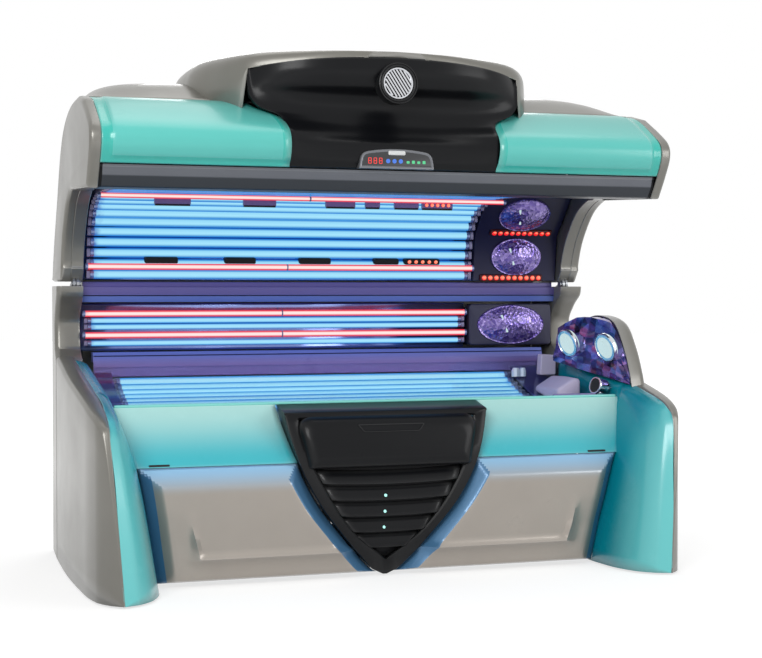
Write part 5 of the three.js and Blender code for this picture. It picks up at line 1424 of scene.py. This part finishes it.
@dataclass
class HeadEnd(Assembly):
    """Shoulder pod with its cut lens and lamps, headrest, air outlet and small trims."""

    inner: float = 1.112
    outer: float = 1.188
    lens_front: Point = (1.1115, -0.300)
    lens_back: Point = (0.970, 0.200)
    arch: tuple[Point, ...] = (
        (-0.318, 0.735), (-0.295, 0.800), (-0.238, 0.906), (-0.145, 1.005), (0.014, 1.032),
        (0.150, 1.000), (0.225, 0.920), (0.255, 0.850),
    )

    def build(self) -> None:
        """Makes the head end."""
        self.housing()
        self.lens()
        for place, (share, z) in {"inner": (0.27, 0.908), "outer": (0.745, 0.896)}.items():
            self.shoulder_lamp(place, share, z)
        self.headrest()
        self.outlet()

    def arm_top(self, y: float) -> float:
        """Height of the wing under the pod."""
        return reading(self.lines.wing, y)

    def housing(self) -> None:
        """Makes the grey housing: an arched rim that rounds over to its outer face."""
        arch = [(-0.318, 0.715), *spline(self.arch, 40), (0.255, 0.800)]
        rings = []
        stops = (
            (self.inner, 0.005), (self.inner + 0.001, 0.0), (1.154, 0.0), (1.166, 0.003), (1.177, 0.010),
            (1.184, 0.020), (self.outer, 0.034), (self.outer, 0.06), (self.outer, 0.1),
        )
        for x, draw in stops:
            ring = offset(arch, -draw)
            rings.append([(x, y, max(z, self.arm_top(y) - 0.006)) for y, z in ring])
        middle = [(self.outer, -0.03, max(0.80, self.arm_top(-0.03))) for _ in arch]
        shape = Shape().grid([*rings, middle])
        self.fit(shape, "pod_shell", [Finish.SILVER], "pod_housing", wall=0.003, out=(1, 0, 0.8))

    def lens(self) -> None:
        """Makes the cut lens: a leaning wall of jittered facets that closes over to the housing."""
        rng = random.Random(7)
        crest = spline(self.arch, 60)
        (x0, y0), (x1, y1) = self.lens_front, self.lens_back
        plan = [(x0, y0), (x1 + (x0 - x1) * 0.45, y1 + (y0 - y1) * 0.5), (x1, y1), (x0, y1 + 0.033)]
        rows = []
        for i in range(17):
            x, y = along(plan, run_length(plan) * i / 16)
            top = reading(crest, y) - 0.007
            low = self.arm_top(y) + 0.001
            top = max(top, low + 0.004)
            row = []
            for j in range(12):
                t = min(1.0, j / 8)
                over = max(0.0, (j - 8) / 3)
                lean = 0.16 * (top - low) * t * t
                px = x + (self.inner - 0.0005 - x) * min(1.0, over + lean / max(0.02, self.inner - x))
                pz = low + (top - low) * t
                inside = 0 < i < 16 and 0 < j < 11
                shift = 0.007 if inside else 0.0
                row.append((
                    min(px + shift * rng.uniform(-0.6, 1), self.inner - 0.0005),
                    y + shift * rng.uniform(-1, 1),
                    min(pz + 0.5 * shift * rng.uniform(-1, 1), reading(crest, y) - 0.004),
                ))
            rows.append(row)
        shape = Shape().grid(rows)
        self.fit(shape, "pod_crystal", [Finish.LENS], "pod_lens", out=(-1, -0.3, 0.3), smooth=4)

    def shoulder_lamp(self, place: str, share: float, z: float) -> None:
        """Makes one of the pod's round lamps: a pale glass in a plated rim.

        Args:
            place: which of the two it is.
            share: how far along the lens it stands, from its back.
            z: its height.
        """
        (x0, y0), (x1, y1) = self.lens_back, self.lens_front
        facing = Vector((-0.92, -0.21, -0.32)).normalized()
        ahead = Vector((y1 - y0, -(x1 - x0), 0)).normalized() * 0.018
        centre = Vector((x0 + (x1 - x0) * share, y0 + (y1 - y0) * share, z)) + ahead
        shape = Shape()
        glass = [
            (0.0, -0.020), (0.056, -0.020), (0.058, 0.001), (0.051, 0.0045), (0.035, 0.007), (0.017, 0.0082),
            (0.001, 0.0085),
        ]
        shape.spun(glass, centre, facing, 40)
        rim = [
            (0.0585, -0.009), (0.0635, -0.009), (0.0645, 0.003), (0.063, 0.006), (0.060, 0.007),
            (0.0585, 0.005),
        ]
        shape.spun(rim, centre, facing, 40, 1)
        for ring in (0.018, 0.034):
            profile = [(ring, 0.0065), (ring + 0.002, 0.0085), (ring + 0.004, 0.0065)]
            shape.spun(profile, centre, facing, 40)
        self.fit(
            shape, f"shoulder_glass_{place}", [Finish.SHOULDER, Finish.CHROME], f"shoulder_lamp_{place}",
            smooth=45,
        )

    def headrest(self) -> None:
        """Makes the wedge-shaped head pad, the ledge before it, the clear holders and the corner block."""
        bench = offset(spline(self.lines.bench, 48), 0.009)
        rings = []
        stops = (
            (-0.078, 0.010), (-0.074, 0.003), (-0.060, 0.0), (0.045, 0.0), (0.150, 0.0), (0.164, 0.003),
            (0.168, 0.010),
        )
        for y, draw in stops:
            low = reading(bench, y) + 0.0005
            crown = 0.003 * math.cos(math.pi * (y - 0.045) / 0.25)
            profile = rounded(
                [(0.880 + draw, low), (0.990 - draw, low), (0.990 - draw, 0.756 + crown - draw),
                 (0.960, 0.761 + crown - draw), (0.880 + draw, max(0.714 - draw, low + 0.004))], 0.012, 4,
            )
            rings.append([(x, y, z) for x, z in profile])
        piece = Shape().loft(rings).build("head_pad", self.shop, [Finish.PAD], smooth=60)
        seat(piece, self.body, Finish.PAD, "headrest")
        strip = [(y, z) for y, z in bench if -0.24 < y < -0.10]
        ledge = Shape().prism([*strip, *reversed(offset(strip, 0.010))], Across.X, 0.79, 0.985)
        self.fit(ledge, "head_ledge", [Finish.LILAC], edge=0.003, smooth=50)
        holders = Shape()
        rest, back = reading(bench, 0.33), 0.33
        for x, wide in ((0.858, 0.022), (0.892, 0.016)):
            angles = [2 * math.pi * i / 8 for i in range(8)]
            loop = [(x + wide * math.cos(a), back + 0.6 * wide * math.sin(a)) for a in angles]
            small = [(x + (u - x) * 0.7, back + (v - back) * 0.7) for u, v in loop]
            stack = ((loop, rest), (loop, rest + 0.026), (small, rest + 0.040))
            holders.loft([[(u, v, h) for u, v in ring] for ring, h in stack])
        self.fit(holders, "bench_crystals", [Finish.CRYSTAL], smooth=10)
        foot = reading(bench, 0.345)
        outline = rounded([(0.965, foot), (1.044, foot), (1.044, 0.846), (0.972, 0.850)], 0.008, 4)
        block = Shape().prism(outline, Across.Y, 0.30, 0.345)
        self.fit(block, "head_block", [Finish.PAD], edge=0.004, smooth=50)

    def outlet(self) -> None:
        """Makes the turning air outlet: a plated drum on a foot, with a dark mouth."""
        low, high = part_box("air_outlet")
        x, y, foot = (low[0] + high[0]) / 2, (low[1] + high[1]) / 2, low[2]
        tube, centre, facing = Shape(), (x + 0.006, y, foot + 0.042), (-0.93, -0.25, 0.22)
        tube.rod((x, y, foot + 0.0005), (x, y, foot + 0.02), (high[0] - low[0]) / 2)
        drum = [
            (0.020, -0.031), (0.030, -0.030), (0.034, -0.026), (0.034, 0.014), (0.0365, 0.016),
            (0.0375, 0.024), (0.036, 0.027), (0.031, 0.027), (0.0295, 0.022),
        ]
        tube.spun(drum, centre, facing, 40)
        tube.spun([(0.0294, 0.0222), (0.0294, 0.0235)], centre, facing, 40, 1)
        self.fit(
            tube, "head_outlet", [Finish.CHROME, Finish.BLACK_PART], "air_outlet", body="air_outlet",
            smooth=40,
        )


# Canopy

@dataclass
class CanopyShell(Assembly):
    """End caps, roof, hood and teal covers of the canopy."""

    body: str = "canopy"
    rim: float = 1.146
    half: float = 1.190
    lift: float = 0.115
    corner: float = 0.016
    hood_square: float = 0.16
    hood_crown: float = 0.016
    lip_top: float = 0.866
    lip_arch: float = 0.045
    lip_half: float = 0.567
    lip_back: float = -0.28
    hood_half: tuple[Point, ...] = (
        (-0.500, 0.120), (-0.480, 0.250), (-0.440, 0.390), (-0.345, 0.582), (-0.200, 0.665),
        (0.0, 0.737), (0.200, 0.747), (0.330, 0.712), (0.400, 0.642), (0.470, 0.507),
    )
    hood_top: tuple[Point, ...] = (
        (-0.500, 0.888), (-0.345, 0.890), (-0.200, 0.896), (0.0, 0.900), (0.200, 0.892),
        (0.330, 0.850), (0.400, 0.735), (0.470, 0.555),
    )
    hood_foot: tuple[Point, ...] = ((-0.500, 0.800), (-0.345, 0.650), (-0.200, 0.600), (0.0, 0.380))

    def build(self) -> None:
        """Makes the canopy's shells."""
        for side in (RIGHT, LEFT):
            self.end_cap(side)
            self.cover(side)
        self.roof()
        self.hood()

    def end_cap(self, side: int) -> None:
        """Makes an end cap: a rim with a rounded edge, its face and the cheek behind it."""
        loop = self.lines.cap_loop()
        name, r = SIDE_NAMES[side], self.corner
        stops = [(self.rim, 0.003), (self.rim + 0.003, 0.0), (self.half - r, 0.0)]
        for angle in (22.5, 45, 67.5, 90):
            turn = math.radians(angle)
            stops.append((self.half - r + r * math.sin(turn), r * (1 - math.cos(turn))))
        rings = []
        for x, draw in stops:
            ring = offset(loop, draw, closed=True)
            rings.append([(side * x, y, CANOPY_BOTTOM + max(h, 0.0)) for y, h in ring])
        start = len(loop) * (len(rings) - 1)
        shape = Shape().grid(rings, wrap=True)
        shape.faces.append((tuple(range(start, start + len(loop))), 0))
        self.fit(shape, f"cap_shell_{name}", [Finish.SILVER], f"canopy_end_{name}", out=(side, 0, 0))
        inside = [(y, h) for y, h in spline(self.lines.cap_inside, 28) if y > -0.1]
        back = [(y, h) for y, h in spline(self.lines.cap_back, 44) if h < 0.425]
        outline = [*inside, (0.400, 0.001), *back, (0.440, 0.430), (-0.100, 0.430), (-0.145, 0.405)]
        low, high = sorted((side * 1.0955, side * (self.rim + 0.002)))
        outline = [(y, CANOPY_BOTTOM + max(h, 0.001)) for y, h in outline]
        cheek = Shape().prism(outline, Across.X, low, high)
        self.fit(cheek, f"cap_cheek_{name}", [Finish.SILVER], edge=0.004)

    def roof_point(self, x: float, y: float, h: float) -> Spot:
        """A point of the roof, raised by its crown."""
        swell = math.sqrt(max(0.0, 1 - (abs(x) / self.lines.cap_half) ** 10))
        share = min(1.0, max(0.0, (y + 0.19) / 0.668))
        return (x, y, CANOPY_BOTTOM + h + self.lift * swell * math.sin(math.pi * share))

    def roof(self) -> None:
        """Makes the roof as one crowned sheet."""
        line = spline(self.lines.cap_back, 40)
        line[0] = (line[0][0], 0.002)
        half = self.lines.cap_half
        shares = [math.sin(math.pi / 2 * s) for s in steps_between(-1, 1, 56)]
        shape = Shape().grid([[self.roof_point(s * half, y, h) for s in shares] for y, h in line])
        self.fit(shape, "roof_sheet", [Finish.SILVER], "canopy_roof", wall=0.004, out=(0, 0.6, 1))

    def hood(self) -> None:
        """Makes the hood over the console, with a lip that ends on the console's upper edge."""
        rows = []
        for y in (-0.5005, *steps_between(-0.500, 0.470, 56), 0.4705):
            half, top, foot = (reading(t, y) for t in (self.hood_half, self.hood_top, self.hood_foot))
            row = []
            for share in steps_between(-1, 1, 64):
                angle = math.pi / 2 * (1 + math.copysign(abs(share) ** 0.5, share))
                c, s = math.cos(angle), math.sin(angle)
                x = math.copysign(abs(c) ** self.hood_square, c) * half
                h = foot + (top - self.hood_crown * c * c - foot) * max(0.0, s) ** self.hood_square
                lip = self.lip_top - self.lip_arch * (x / self.lip_half) ** 2
                if y < self.lip_back and abs(x) < self.lip_half:
                    h = max(h, lip)
                h = lip if y < -0.5 else min(h, 0.36) if y > 0.47 else h
                row.append((x, y, CANOPY_BOTTOM + h))
            rows.append(row)
        shape = Shape().grid(rows)
        self.fit(shape, "hood_shell", [Finish.SILVER], "canopy_hood", wall=0.004, out=(0, 0, 1), smooth=50)

    def cover(self, side: int) -> None:
        """Makes a teal cover with a slightly raised field, painted as a paler copy of the teal for painted
        light.
        """
        line = spline([
            (-0.192, 0.706), (-0.300, 0.681), (-0.421, 0.616), (-0.496, 0.563), (-0.508, 0.505),
            (-0.471, 0.433),
        ], 44)
        length = run_length(line)
        raised = offset(line, -0.006)
        rows, field = [], []
        reach = 0.0
        for i, (y, h) in enumerate(line):
            if i:
                reach += math.dist(line[i - 1], line[i])
            inner, outer = reading(self.lines.console, h) + 0.001, self.lines.cap_half
            row = []
            for x in [*steps_between(inner, outer - 0.075, 20), *steps_between(outer - 0.070, outer, 10)]:
                rim = min((outer - x - 0.03) / 0.022, (reach - 0.012) / 0.02, (length - reach - 0.018) / 0.02)
                share = min(1.0, max(0.0, rim))
                share = share * share * (3 - 2 * share)
                py, ph = (a + (b - a) * share for a, b in zip((y, h), raised[i]))
                row.append((side * x, py, CANOPY_BOTTOM + ph))
                field.append(share > 0.4 and x > inner + 0.02)
            rows.append(row)
        shape = Shape().grid(rows)
        shape.faces = [(face, int(all(field[v] for v in face))) for face, _ in shape.faces]
        name = SIDE_NAMES[side]
        self.fit(
            shape, f"nose_cover_{name}", [Finish.TEAL, Finish.TEAL_FIELD_LIT], f"canopy_cover_{name}", wall=0.004,
            out=(0, -1, 0.6), smooth=30,
        )


@dataclass
class CanopyConsole(Assembly):
    """The black console on the canopy's front with its nozzle, display and button."""

    body: str = "canopy"
    low: float = 0.433
    top: float = 0.865
    arch: float = 0.045
    nozzle_at: Spot = (0.0, -0.516, CANOPY_BOTTOM + 0.765)
    rim: tuple[Point, ...] = (
        (0.431, -0.466), (0.470, -0.488), (0.520, -0.500), (0.565, -0.492), (0.620, -0.432),
        (0.670, -0.396), (0.720, -0.376), (0.820, -0.352), (0.870, -0.342),
    )
    middle: tuple[Point, ...] = (
        (0.431, -0.466), (0.470, -0.486), (0.520, -0.488), (0.565, -0.455), (0.620, -0.418),
        (0.670, -0.404), (0.720, -0.428), (0.760, -0.474), (0.820, -0.500), (0.870, -0.498),
    )

    def build(self) -> None:
        """Makes the console's pieces."""
        self.face()
        self.nozzle()
        self.display()
        self.button()

    def depth(self, x: float, h: float) -> float:
        """Depth of the dished face."""
        share = min(1.0, abs(x) / (reading(self.lines.console, h) - 0.012))
        rim, middle = reading(self.rim, h), reading(self.middle, h)
        return middle + (rim - middle) * share ** 4

    def face(self) -> None:
        """Makes the dished face with an edge that turns back all round, and the nozzle's bezel."""
        shares = [math.sin(math.pi / 2 * s) for s in steps_between(-1, 1, 64)]
        back = Vector((0, 0.03, 0))
        rows = []
        for v in steps_between(0, 1, 54):
            row = []
            for u in shares:
                h = self.low + v * (self.top - self.arch * u * u - self.low)
                x = u * reading(self.lines.console, h)
                row.append(Vector((x, self.depth(x, h), CANOPY_BOTTOM + h)))
            rows.append([row[0] + back, *row, row[-1] + back])
        rows.append([p + back for p in rows[-1]])
        self.fit(
            Shape().grid(rows), "console_face", [Finish.BLACK], "canopy_console", wall=0.004,
            out=(0, -1, 0.2), smooth=50,
        )
        bezel = Shape()
        profile = [
            (0.0635, 0.040), (0.0635, -0.001), (0.066, -0.0035), (0.071, -0.004), (0.072, -0.001),
            (0.0745, -0.001), (0.0755, -0.004), (0.079, -0.002), (0.080, 0.004), (0.080, 0.050),
        ]
        bezel.spun(profile, self.nozzle_at, (0, 1, 0), 64)
        self.fit(bezel, "nozzle_bezel", [Finish.BLACK], smooth=50)

    def nozzle(self) -> None:
        """Makes the turning nozzle: a plated ring with slanted slats over a dark throat."""
        centre = Vector(self.nozzle_at)
        shape = Shape()
        ring = [
            (0.0615, 0.030), (0.0615, 0.002), (0.060, 0.0), (0.055, 0.0), (0.0525, 0.003), (0.0525, 0.030),
        ]
        shape.spun(ring, centre, (0, 1, 0), 56)
        shape.spun([(0.053, 0.022), (0.053, 0.028)], centre, (0, 1, 0), 40, 1)
        turn = math.radians(124)
        along_way = Vector((math.cos(turn), 0, math.sin(turn)))
        across = Vector((-math.sin(turn), 0, math.cos(turn)))
        section = ((-0.0032, 0.001), (0.0030, 0.001), (0.0044, 0.020), (0.0004, 0.020))
        for i in range(-4, 5):
            off = i * 0.0114
            half = math.sqrt(max(0.0, 0.0528 ** 2 - off ** 2))
            shape.loft([
                [centre + along_way * end + across * (off + a) + Vector((0, b, 0)) for a, b in section]
                for end in (-half, half)
            ])
        self.fit(
            shape, "nozzle_slats", [Finish.CHROME, Finish.BLACK_PART], "air_nozzle", body="air_nozzle",
            smooth=35,
        )

    def display(self) -> None:
        """Makes the arched display: plated bezel, dark screen, digits, rings and signs."""
        base = CANOPY_BOTTOM + 0.434
        outline = self.arched(0.155, base, base + 0.078)
        rings = []
        for draw, y in ((0.0, -0.462), (0.0, -0.494), (0.002, -0.4975), (0.005, -0.498), (0.009, -0.4965)):
            rings.append([(x, y, z) for x, z in offset(outline, draw, closed=True)])
        self.fit(Shape().loft(rings), "display_frame", [Finish.BEZEL], "display_panel", smooth=40)
        screen = Shape().prism(offset(outline, 0.011, closed=True), Across.Y, -0.4975, -0.4962)
        self.fit(screen, "display_screen", [Finish.SCREEN], edge=0.0005)
        self.signs(base)

    @staticmethod
    def arched(half: float, low: float, high: float) -> Line:
        """The display's outline: straight below, arched above."""
        return spline([
            (half, low), (half - 0.014, high - 0.022), (half - 0.062, high - 0.006), (0.0, high),
            (0.062 - half, high - 0.006), (0.014 - half, high - 0.022), (-half, low),
        ], 30)

    def signs(self, base: float) -> None:
        """Makes the lit signs: three digits, three rings and four small bars."""
        y0, y1 = -0.4985, -0.4974
        digits = Shape()
        wide, tall, thick = 0.011, 0.021, 0.0024
        for x in (-0.116, -0.094, -0.072):
            z = base + 0.020
            for row in (0.0, 0.5, 1.0):
                h = z + tall * row
                digits.box((x, y0, h - thick / 2), (x + wide, y1, h + thick / 2))
            for column in (0.0, wide):
                digits.box((x + column - thick / 2, y0, z), (x + column + thick / 2, y1, z + tall))
        self.fit(digits, "display_digits", [Finish.DIGIT])
        rings = Shape()
        profile = [(0.0055, 0), (0.0085, 0), (0.0085, 0.001), (0.0055, 0.001)]
        for x in (-0.036, -0.010, 0.016):
            rings.spun(profile, (x, y0, base + 0.030), (0, 1, 0), 24)
        self.fit(rings, "display_rings", [Finish.ICON_BLUE])
        bars, z = Shape(), base + 0.022
        for i, x in enumerate((0.040, 0.062, 0.084, 0.106)):
            tall = 0.010 + 0.002 * (i % 2)
            bars.prism(rounded_box(x, z, x + 0.012, z + tall, 0.003, 3), Across.Y, y0, y1)
        self.fit(bars, "display_signs", [Finish.ICON_GREEN])

    def button(self) -> None:
        """Makes the start button: a crowned key."""
        z = CANOPY_BOTTOM + 0.496
        loop = rounded_box(-0.035, z - 0.0085, 0.035, z + 0.0085, 0.006, 5)
        rings = []
        for draw, y in ((0.0, -0.4918), (0.0, -0.4985), (0.0012, -0.500), (0.004, -0.5005)):
            rings.append([(x, y, h) for x, h in offset(loop, draw, closed=True)])
        shape = Shape().loft(rings)
        self.fit(shape, "start_key", [Finish.WHITE], "start_button", body="start_button", smooth=50)


@dataclass
class CanopyLamps(LampWall):
    """Front rail, reflector, lamps, clips and facial lamps on the canopy's inside."""

    body: str = "canopy"
    plate: float = 0.012
    facial_line: tuple[Point, ...] = ((0.440, 0.008), (0.415, 0.222), (0.250, 0.400))

    def build(self) -> None:
        """Makes the canopy's inside."""
        self.rail()
        fine = [(y, CANOPY_BOTTOM + h) for y, h in spline(self.lines.mirror, 60)]
        half = self.lines.inner_half
        shape = Shape().grid([[(x, y, z) for x in steps_between(-half, half, 2)] for y, z in fine])
        self.fit(shape, "canopy_mirror", [Finish.MIRROR], "canopy_reflector", wall=0.002, out=(0, -1, -1))
        places = lamp_places(offset(fine, 0.034), self.tube, self.pitch)
        self.tubes("canopy_tubes", "canopy_blue_lamps", self.tube, places)
        stand = offset(fine, 0.066)
        reds = [along(stand, 0.062), along(stand, 0.600)]
        self.red_tubes("canopy_red_tubes", "canopy_red_lamps", reds)
        self.clips(stand)
        self.facial()

    def rail(self) -> None:
        """Makes the front rail: a drawn section with a groove, closed by dark end plates."""
        profile = [
            (-0.455, 0.431), (-0.4525, 0.422), (-0.4500, 0.4205), (-0.4420, 0.394), (-0.4385, 0.387),
            (-0.412, 0.3505), (-0.404, 0.347), (-0.288, 0.347), (-0.300, 0.431),
        ]
        loop = [(y, CANOPY_BOTTOM + h) for y, h in profile]
        half = self.lines.cap_half
        inner = half - self.plate
        shape = Shape().prism(loop, Across.X, -inner, inner)
        for low, high in ((-half, -inner), (inner, half)):
            shape.prism(loop, Across.X, low, high, 1)
        self.fit(
            shape, "rail_section", [Finish.RAIL, Finish.BLACK_PART], "front_rail", edge=0.0015, smooth=20,
        )

    def clips(self, stand: Line) -> None:
        """Makes the clips that hold the lamps, some with a row of small red lights.

        Args:
            stand: the line, in (y, z), on which the clips' faces lie.
        """
        shape, lights = Shape(), Shape()
        upper = [(-0.85, -0.70), (-0.48, -0.34), (-0.125, 0.005), (0.05, 0.115), (0.18, 0.29), (0.305, 0.445)]
        for x0, x1 in upper:
            shape.box((x0, 0.060, 1.494), (x1, 0.074, 1.532))
            shape.box((x0 + 0.003, 0.058, 1.487), (x1 - 0.003, 0.074, 1.494), 1)
        for x in steps_between(0.325, 0.425, 4):
            lights.spun([(0.008, 0.0), (0.0075, 0.004), (0.002, 0.006)], (x, 0.060, 1.508), (0, -1, 0), 14)
        lower = [(-0.836, -0.694), (-0.489, -0.352), (-0.154, -0.012), (0.19, 0.305), (0.334, 0.50)]
        reach = 0.090
        at = along(stand, reach)
        frame = heading(at, along(stand, reach + 0.02))
        for span in lower:
            self.raised(shape, span, 0.013, at, frame, ((0.0, -0.030), (0.0, 0.004), (0.003, 0.008)), 1)
        dome = [(0.0085, 0.006), (0.008, 0.0105), (0.002, 0.0125)]
        for x in steps_between(lower[-1][0] + 0.02, lower[-1][1] - 0.02, 4):
            lights.spun(dome, (x, *at), frame[1], 12)
        self.led_bars(shape, lights)
        self.fit(shape, "lamp_clips", [Finish.LILAC, Finish.BLACK_PART, Finish.LED_BAR], edge=0.0015)
        self.fit(lights, "clip_lights", [Finish.LED_RED])

    def led_bars(self, bars: Shape, lights: Shape) -> None:
        """Adds the two bars of ten small red lights on the facial frame.

        Args:
            bars: the shape that takes the dark bars.
            lights: the shape that takes the lights.
        """
        line = [(y, CANOPY_BOTTOM + h) for y, h in offset(self.facial_line, 0.025)]
        dome = [(0.0112, 0.010), (0.0108, 0.014), (0.007, 0.0168), (0.002, 0.0178)]
        for x0, x1, reach in ((0.730, 1.000, 0.016), (0.765, 1.030, 0.234)):
            at = along(line, reach)
            frame = heading(at, along(line, reach + 0.01))
            steps = ((0.0, -0.004), (0.0, 0.008), (0.003, 0.011))
            self.raised(bars, (x0 - 0.02, x1 + 0.02), 0.015, at, frame, steps, 2)
            for x in steps_between(x0, x1, 9):
                lights.spun(dome, (x, *at), frame[1], 14)

    @staticmethod
    def raised(
        shape: Shape, span: Point, half: float, at: Point, frame: tuple[Vector, Vector],
        steps: Sequence[Point], kind: int,
    ) -> None:
        """Adds a rounded bar that lies along X on a slanted face.

        Args:
            shape: the shape that takes it.
            span: where it starts and ends.
            half: half its width.
            at: (y, z) of its middle.
            frame: the way up the face and the way out of it.
            steps: (draw-in, rise) of its rings.
            kind: which of the piece's finishes it takes.
        """
        run, out = frame
        rings = []
        for draw, rise in steps:
            loop = rounded_box(span[0] + draw, draw - half, span[1] - draw, half - draw, 0.006, 3)
            rings.append([Vector((u, *at)) + run * v + out * rise for u, v in loop])
        shape.loft(rings, kind)

    def facial(self) -> None:
        """Makes the frame at the head end and its two lamps."""
        line = [(y, CANOPY_BOTTOM + h) for y, h in self.facial_line]
        inner = offset(line, 0.025)
        shape = Shape().prism([*line, *reversed(inner)], Across.X, 0.678, 1.0905)
        self.fit(shape, "facial_board", [Finish.NAVY], "facial_frame", edge=0.004)
        for name, leg, share, tall in (("lower", 0, 0.54, 0.082), ("upper", 1, 0.56, 0.088)):
            (y0, z0), (y1, z1) = inner[leg], inner[leg + 1]
            _, out = heading((y0, z0), (y1, z1))
            centre = Vector((0.886, y0 + (y1 - y0) * share, z0 + (z1 - z0) * share)) + out * 0.003
            self.facial_lamp(f"facial_{name}", f"facial_lamp_{name}", centre, out, (0.118, tall))


@dataclass
class Works:
    """Solids of the frame that stay in sight: base, hinges, springs and fan."""

    shop: PaintShop
    nodes: dict[str, bpy.types.Object]
    finishes: tuple[tuple[str, Finish], ...] = (
        ("base_pan", Finish.GALVANISED), ("skid_", Finish.STEEL), ("hinge_", Finish.STEEL),
        ("spring_cylinder_", Finish.BLACK_PART), ("spring_rod_", Finish.CHROME), ("fan_", Finish.BLACK_PART),
        ("ballast_tray", Finish.GALVANISED), ("canopy_arm_", Finish.STEEL),
    )

    def dress(self) -> None:
        """Gives each kept solid its material and a small edge rounding."""
        for name, node in self.nodes.items():
            finish = next((f for start, f in self.finishes if name.startswith(start)), None)
            if finish is None:
                continue
            node.data.materials.clear()
            node.data.materials.append(self.shop.of(finish))
            bevel = node.modifiers.new("edge", "BEVEL")
            bevel.width = 0.001
            bevel.segments = 2
            bevel.limit_method = "ANGLE"
            LOG.info("%s kept, %s", name, finish.value.material)


# Studio

@dataclass
class Studio:
    """White floor and backdrop, soft lights and the camera."""

    camera_at: Spot = (-1.99, -6.325, 1.139)
    camera_turn: Spot = (math.pi / 2 - 0.024, 0.0, -0.319)
    lens: float = 74.57
    world_light: float = 0.42
    floor_half: float = 30.0

    def build(self) -> None:
        """Makes the studio."""
        scene = bpy.context.scene
        scene.view_settings.view_transform = "Standard"
        self.world(scene)
        self.floor()
        self.lamp("key_light", (-3.4, -5.2, 3.2), (0, 0, 0.9), 2.6, 190.0)
        self.lamp("fill_light", (4.2, -4.2, 2.2), (0, 0, 0.8), 2.6, 80.0)
        self.lamp("top_light", (0.4, 0.6, 5.4), (0, 0, 1.4), 3.6, 50.0)
        self.lamp("rear_light", (1.5, 5.0, 3.0), (0, 0, 1.0), 3.0, 100.0)
        data = bpy.data.cameras.new("photo_camera")
        data.lens, data.sensor_width = self.lens, 36.0
        camera = bpy.data.objects.new("photo_camera", data)
        camera.location, camera.rotation_euler = self.camera_at, self.camera_turn
        scene.collection.objects.link(camera)
        scene.camera = camera

    @staticmethod
    def seen(sketch: Sketch) -> bpy.types.NodeSocket:
        """1 for camera, glossy and transmission rays, 0 for the light that falls on the object."""
        path = sketch.node("LightPath")
        first = sketch.maths("MAXIMUM", path.outputs["Is Camera Ray"], path.outputs["Is Glossy Ray"])
        return sketch.maths("MAXIMUM", first, path.outputs["Is Transmission Ray"])

    def world(self, scene: bpy.types.Scene) -> None:
        """Makes a world that looks white and lights at a plain level."""
        world = bpy.data.worlds.new("white_room")
        scene.world = world
        world.use_nodes = True
        world.node_tree.nodes.clear()
        sketch = Sketch(world.node_tree)
        light, shown = (
            sketch.node("Background", {"Color": PURE_WHITE, "Strength": level}).outputs[0]
            for level in (self.world_light, 1.0)
        )
        mix = sketch.node("MixShader", {0: self.seen(sketch), 1: light, 2: shown})
        sketch.node("OutputWorld", {0: mix.outputs[0]})

    def floor(self) -> None:
        """Makes the floor: white where nothing shades it, and keeping the object's shadow."""
        material = bpy.data.materials.new("studio_floor")
        material.use_nodes = True
        material.node_tree.nodes.clear()
        sketch = Sketch(material.node_tree)
        reach = sketch.node("VectorMath", {0: sketch.node("TexCoord").outputs["Object"]}, operation="LENGTH")
        spread = sketch.node("MapRange", {
            "Value": reach.outputs["Value"], "From Min": 1.6, "From Max": 4.5, "To Min": 0.70, "To Max": 1.0,
        }, interpolation_type="SMOOTHSTEP")
        glow = sketch.maths("MULTIPLY", self.seen(sketch), spread.outputs["Result"])
        white = sketch.node("Emission", {"Strength": glow})
        matt = sketch.node("BsdfDiffuse", {"Color": (0.42, 0.42, 0.42, 1.0)})
        both = sketch.node("AddShader", {0: matt.outputs[0], 1: white.outputs[0]})
        sketch.node("OutputMaterial", {0: both.outputs[0]})
        mesh = bpy.data.meshes.new("studio_floor")
        ends = (-self.floor_half, self.floor_half)
        corners = [(x, y, -0.0005) for y in ends for x in ends]
        mesh.from_pydata(corners, [], [(0, 1, 3, 2)])
        mesh.materials.append(material)
        plane = bpy.data.objects.new("studio_floor", mesh)
        bpy.context.scene.collection.objects.link(plane)

    @staticmethod
    def lamp(name: str, place: Sequence[float], aim: Sequence[float], size: float, power: float) -> None:
        """Adds a soft square light.

        Args:
            name: its name.
            place: where it hangs.
            aim: the point that it faces.
            size: its side.
            power: its power in watts.
        """
        data = bpy.data.lights.new(name, "AREA")
        data.size, data.energy = size, power
        light = bpy.data.objects.new(name, data)
        light.location = place
        light.rotation_euler = (Vector(aim) - Vector(place)).to_track_quat("-Z", "Y").to_euler()
        bpy.context.scene.collection.objects.link(light)


def main() -> None:
    """Builds the bed's looks round the frame."""
    logging.basicConfig(level=logging.INFO, format="%(message)s")
    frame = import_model()
    shop, lines = PaintShop(), Lines()
    Works(shop, frame["nodes"]).dress()
    for part in (
        LowerShell, CentreConsole, Bench, SideTanner, HeadEnd, CanopyShell, CanopyConsole, CanopyLamps,
    ):
        part(shop, lines).build()
    Studio().build()


if __name__ == "__main__":
    main()
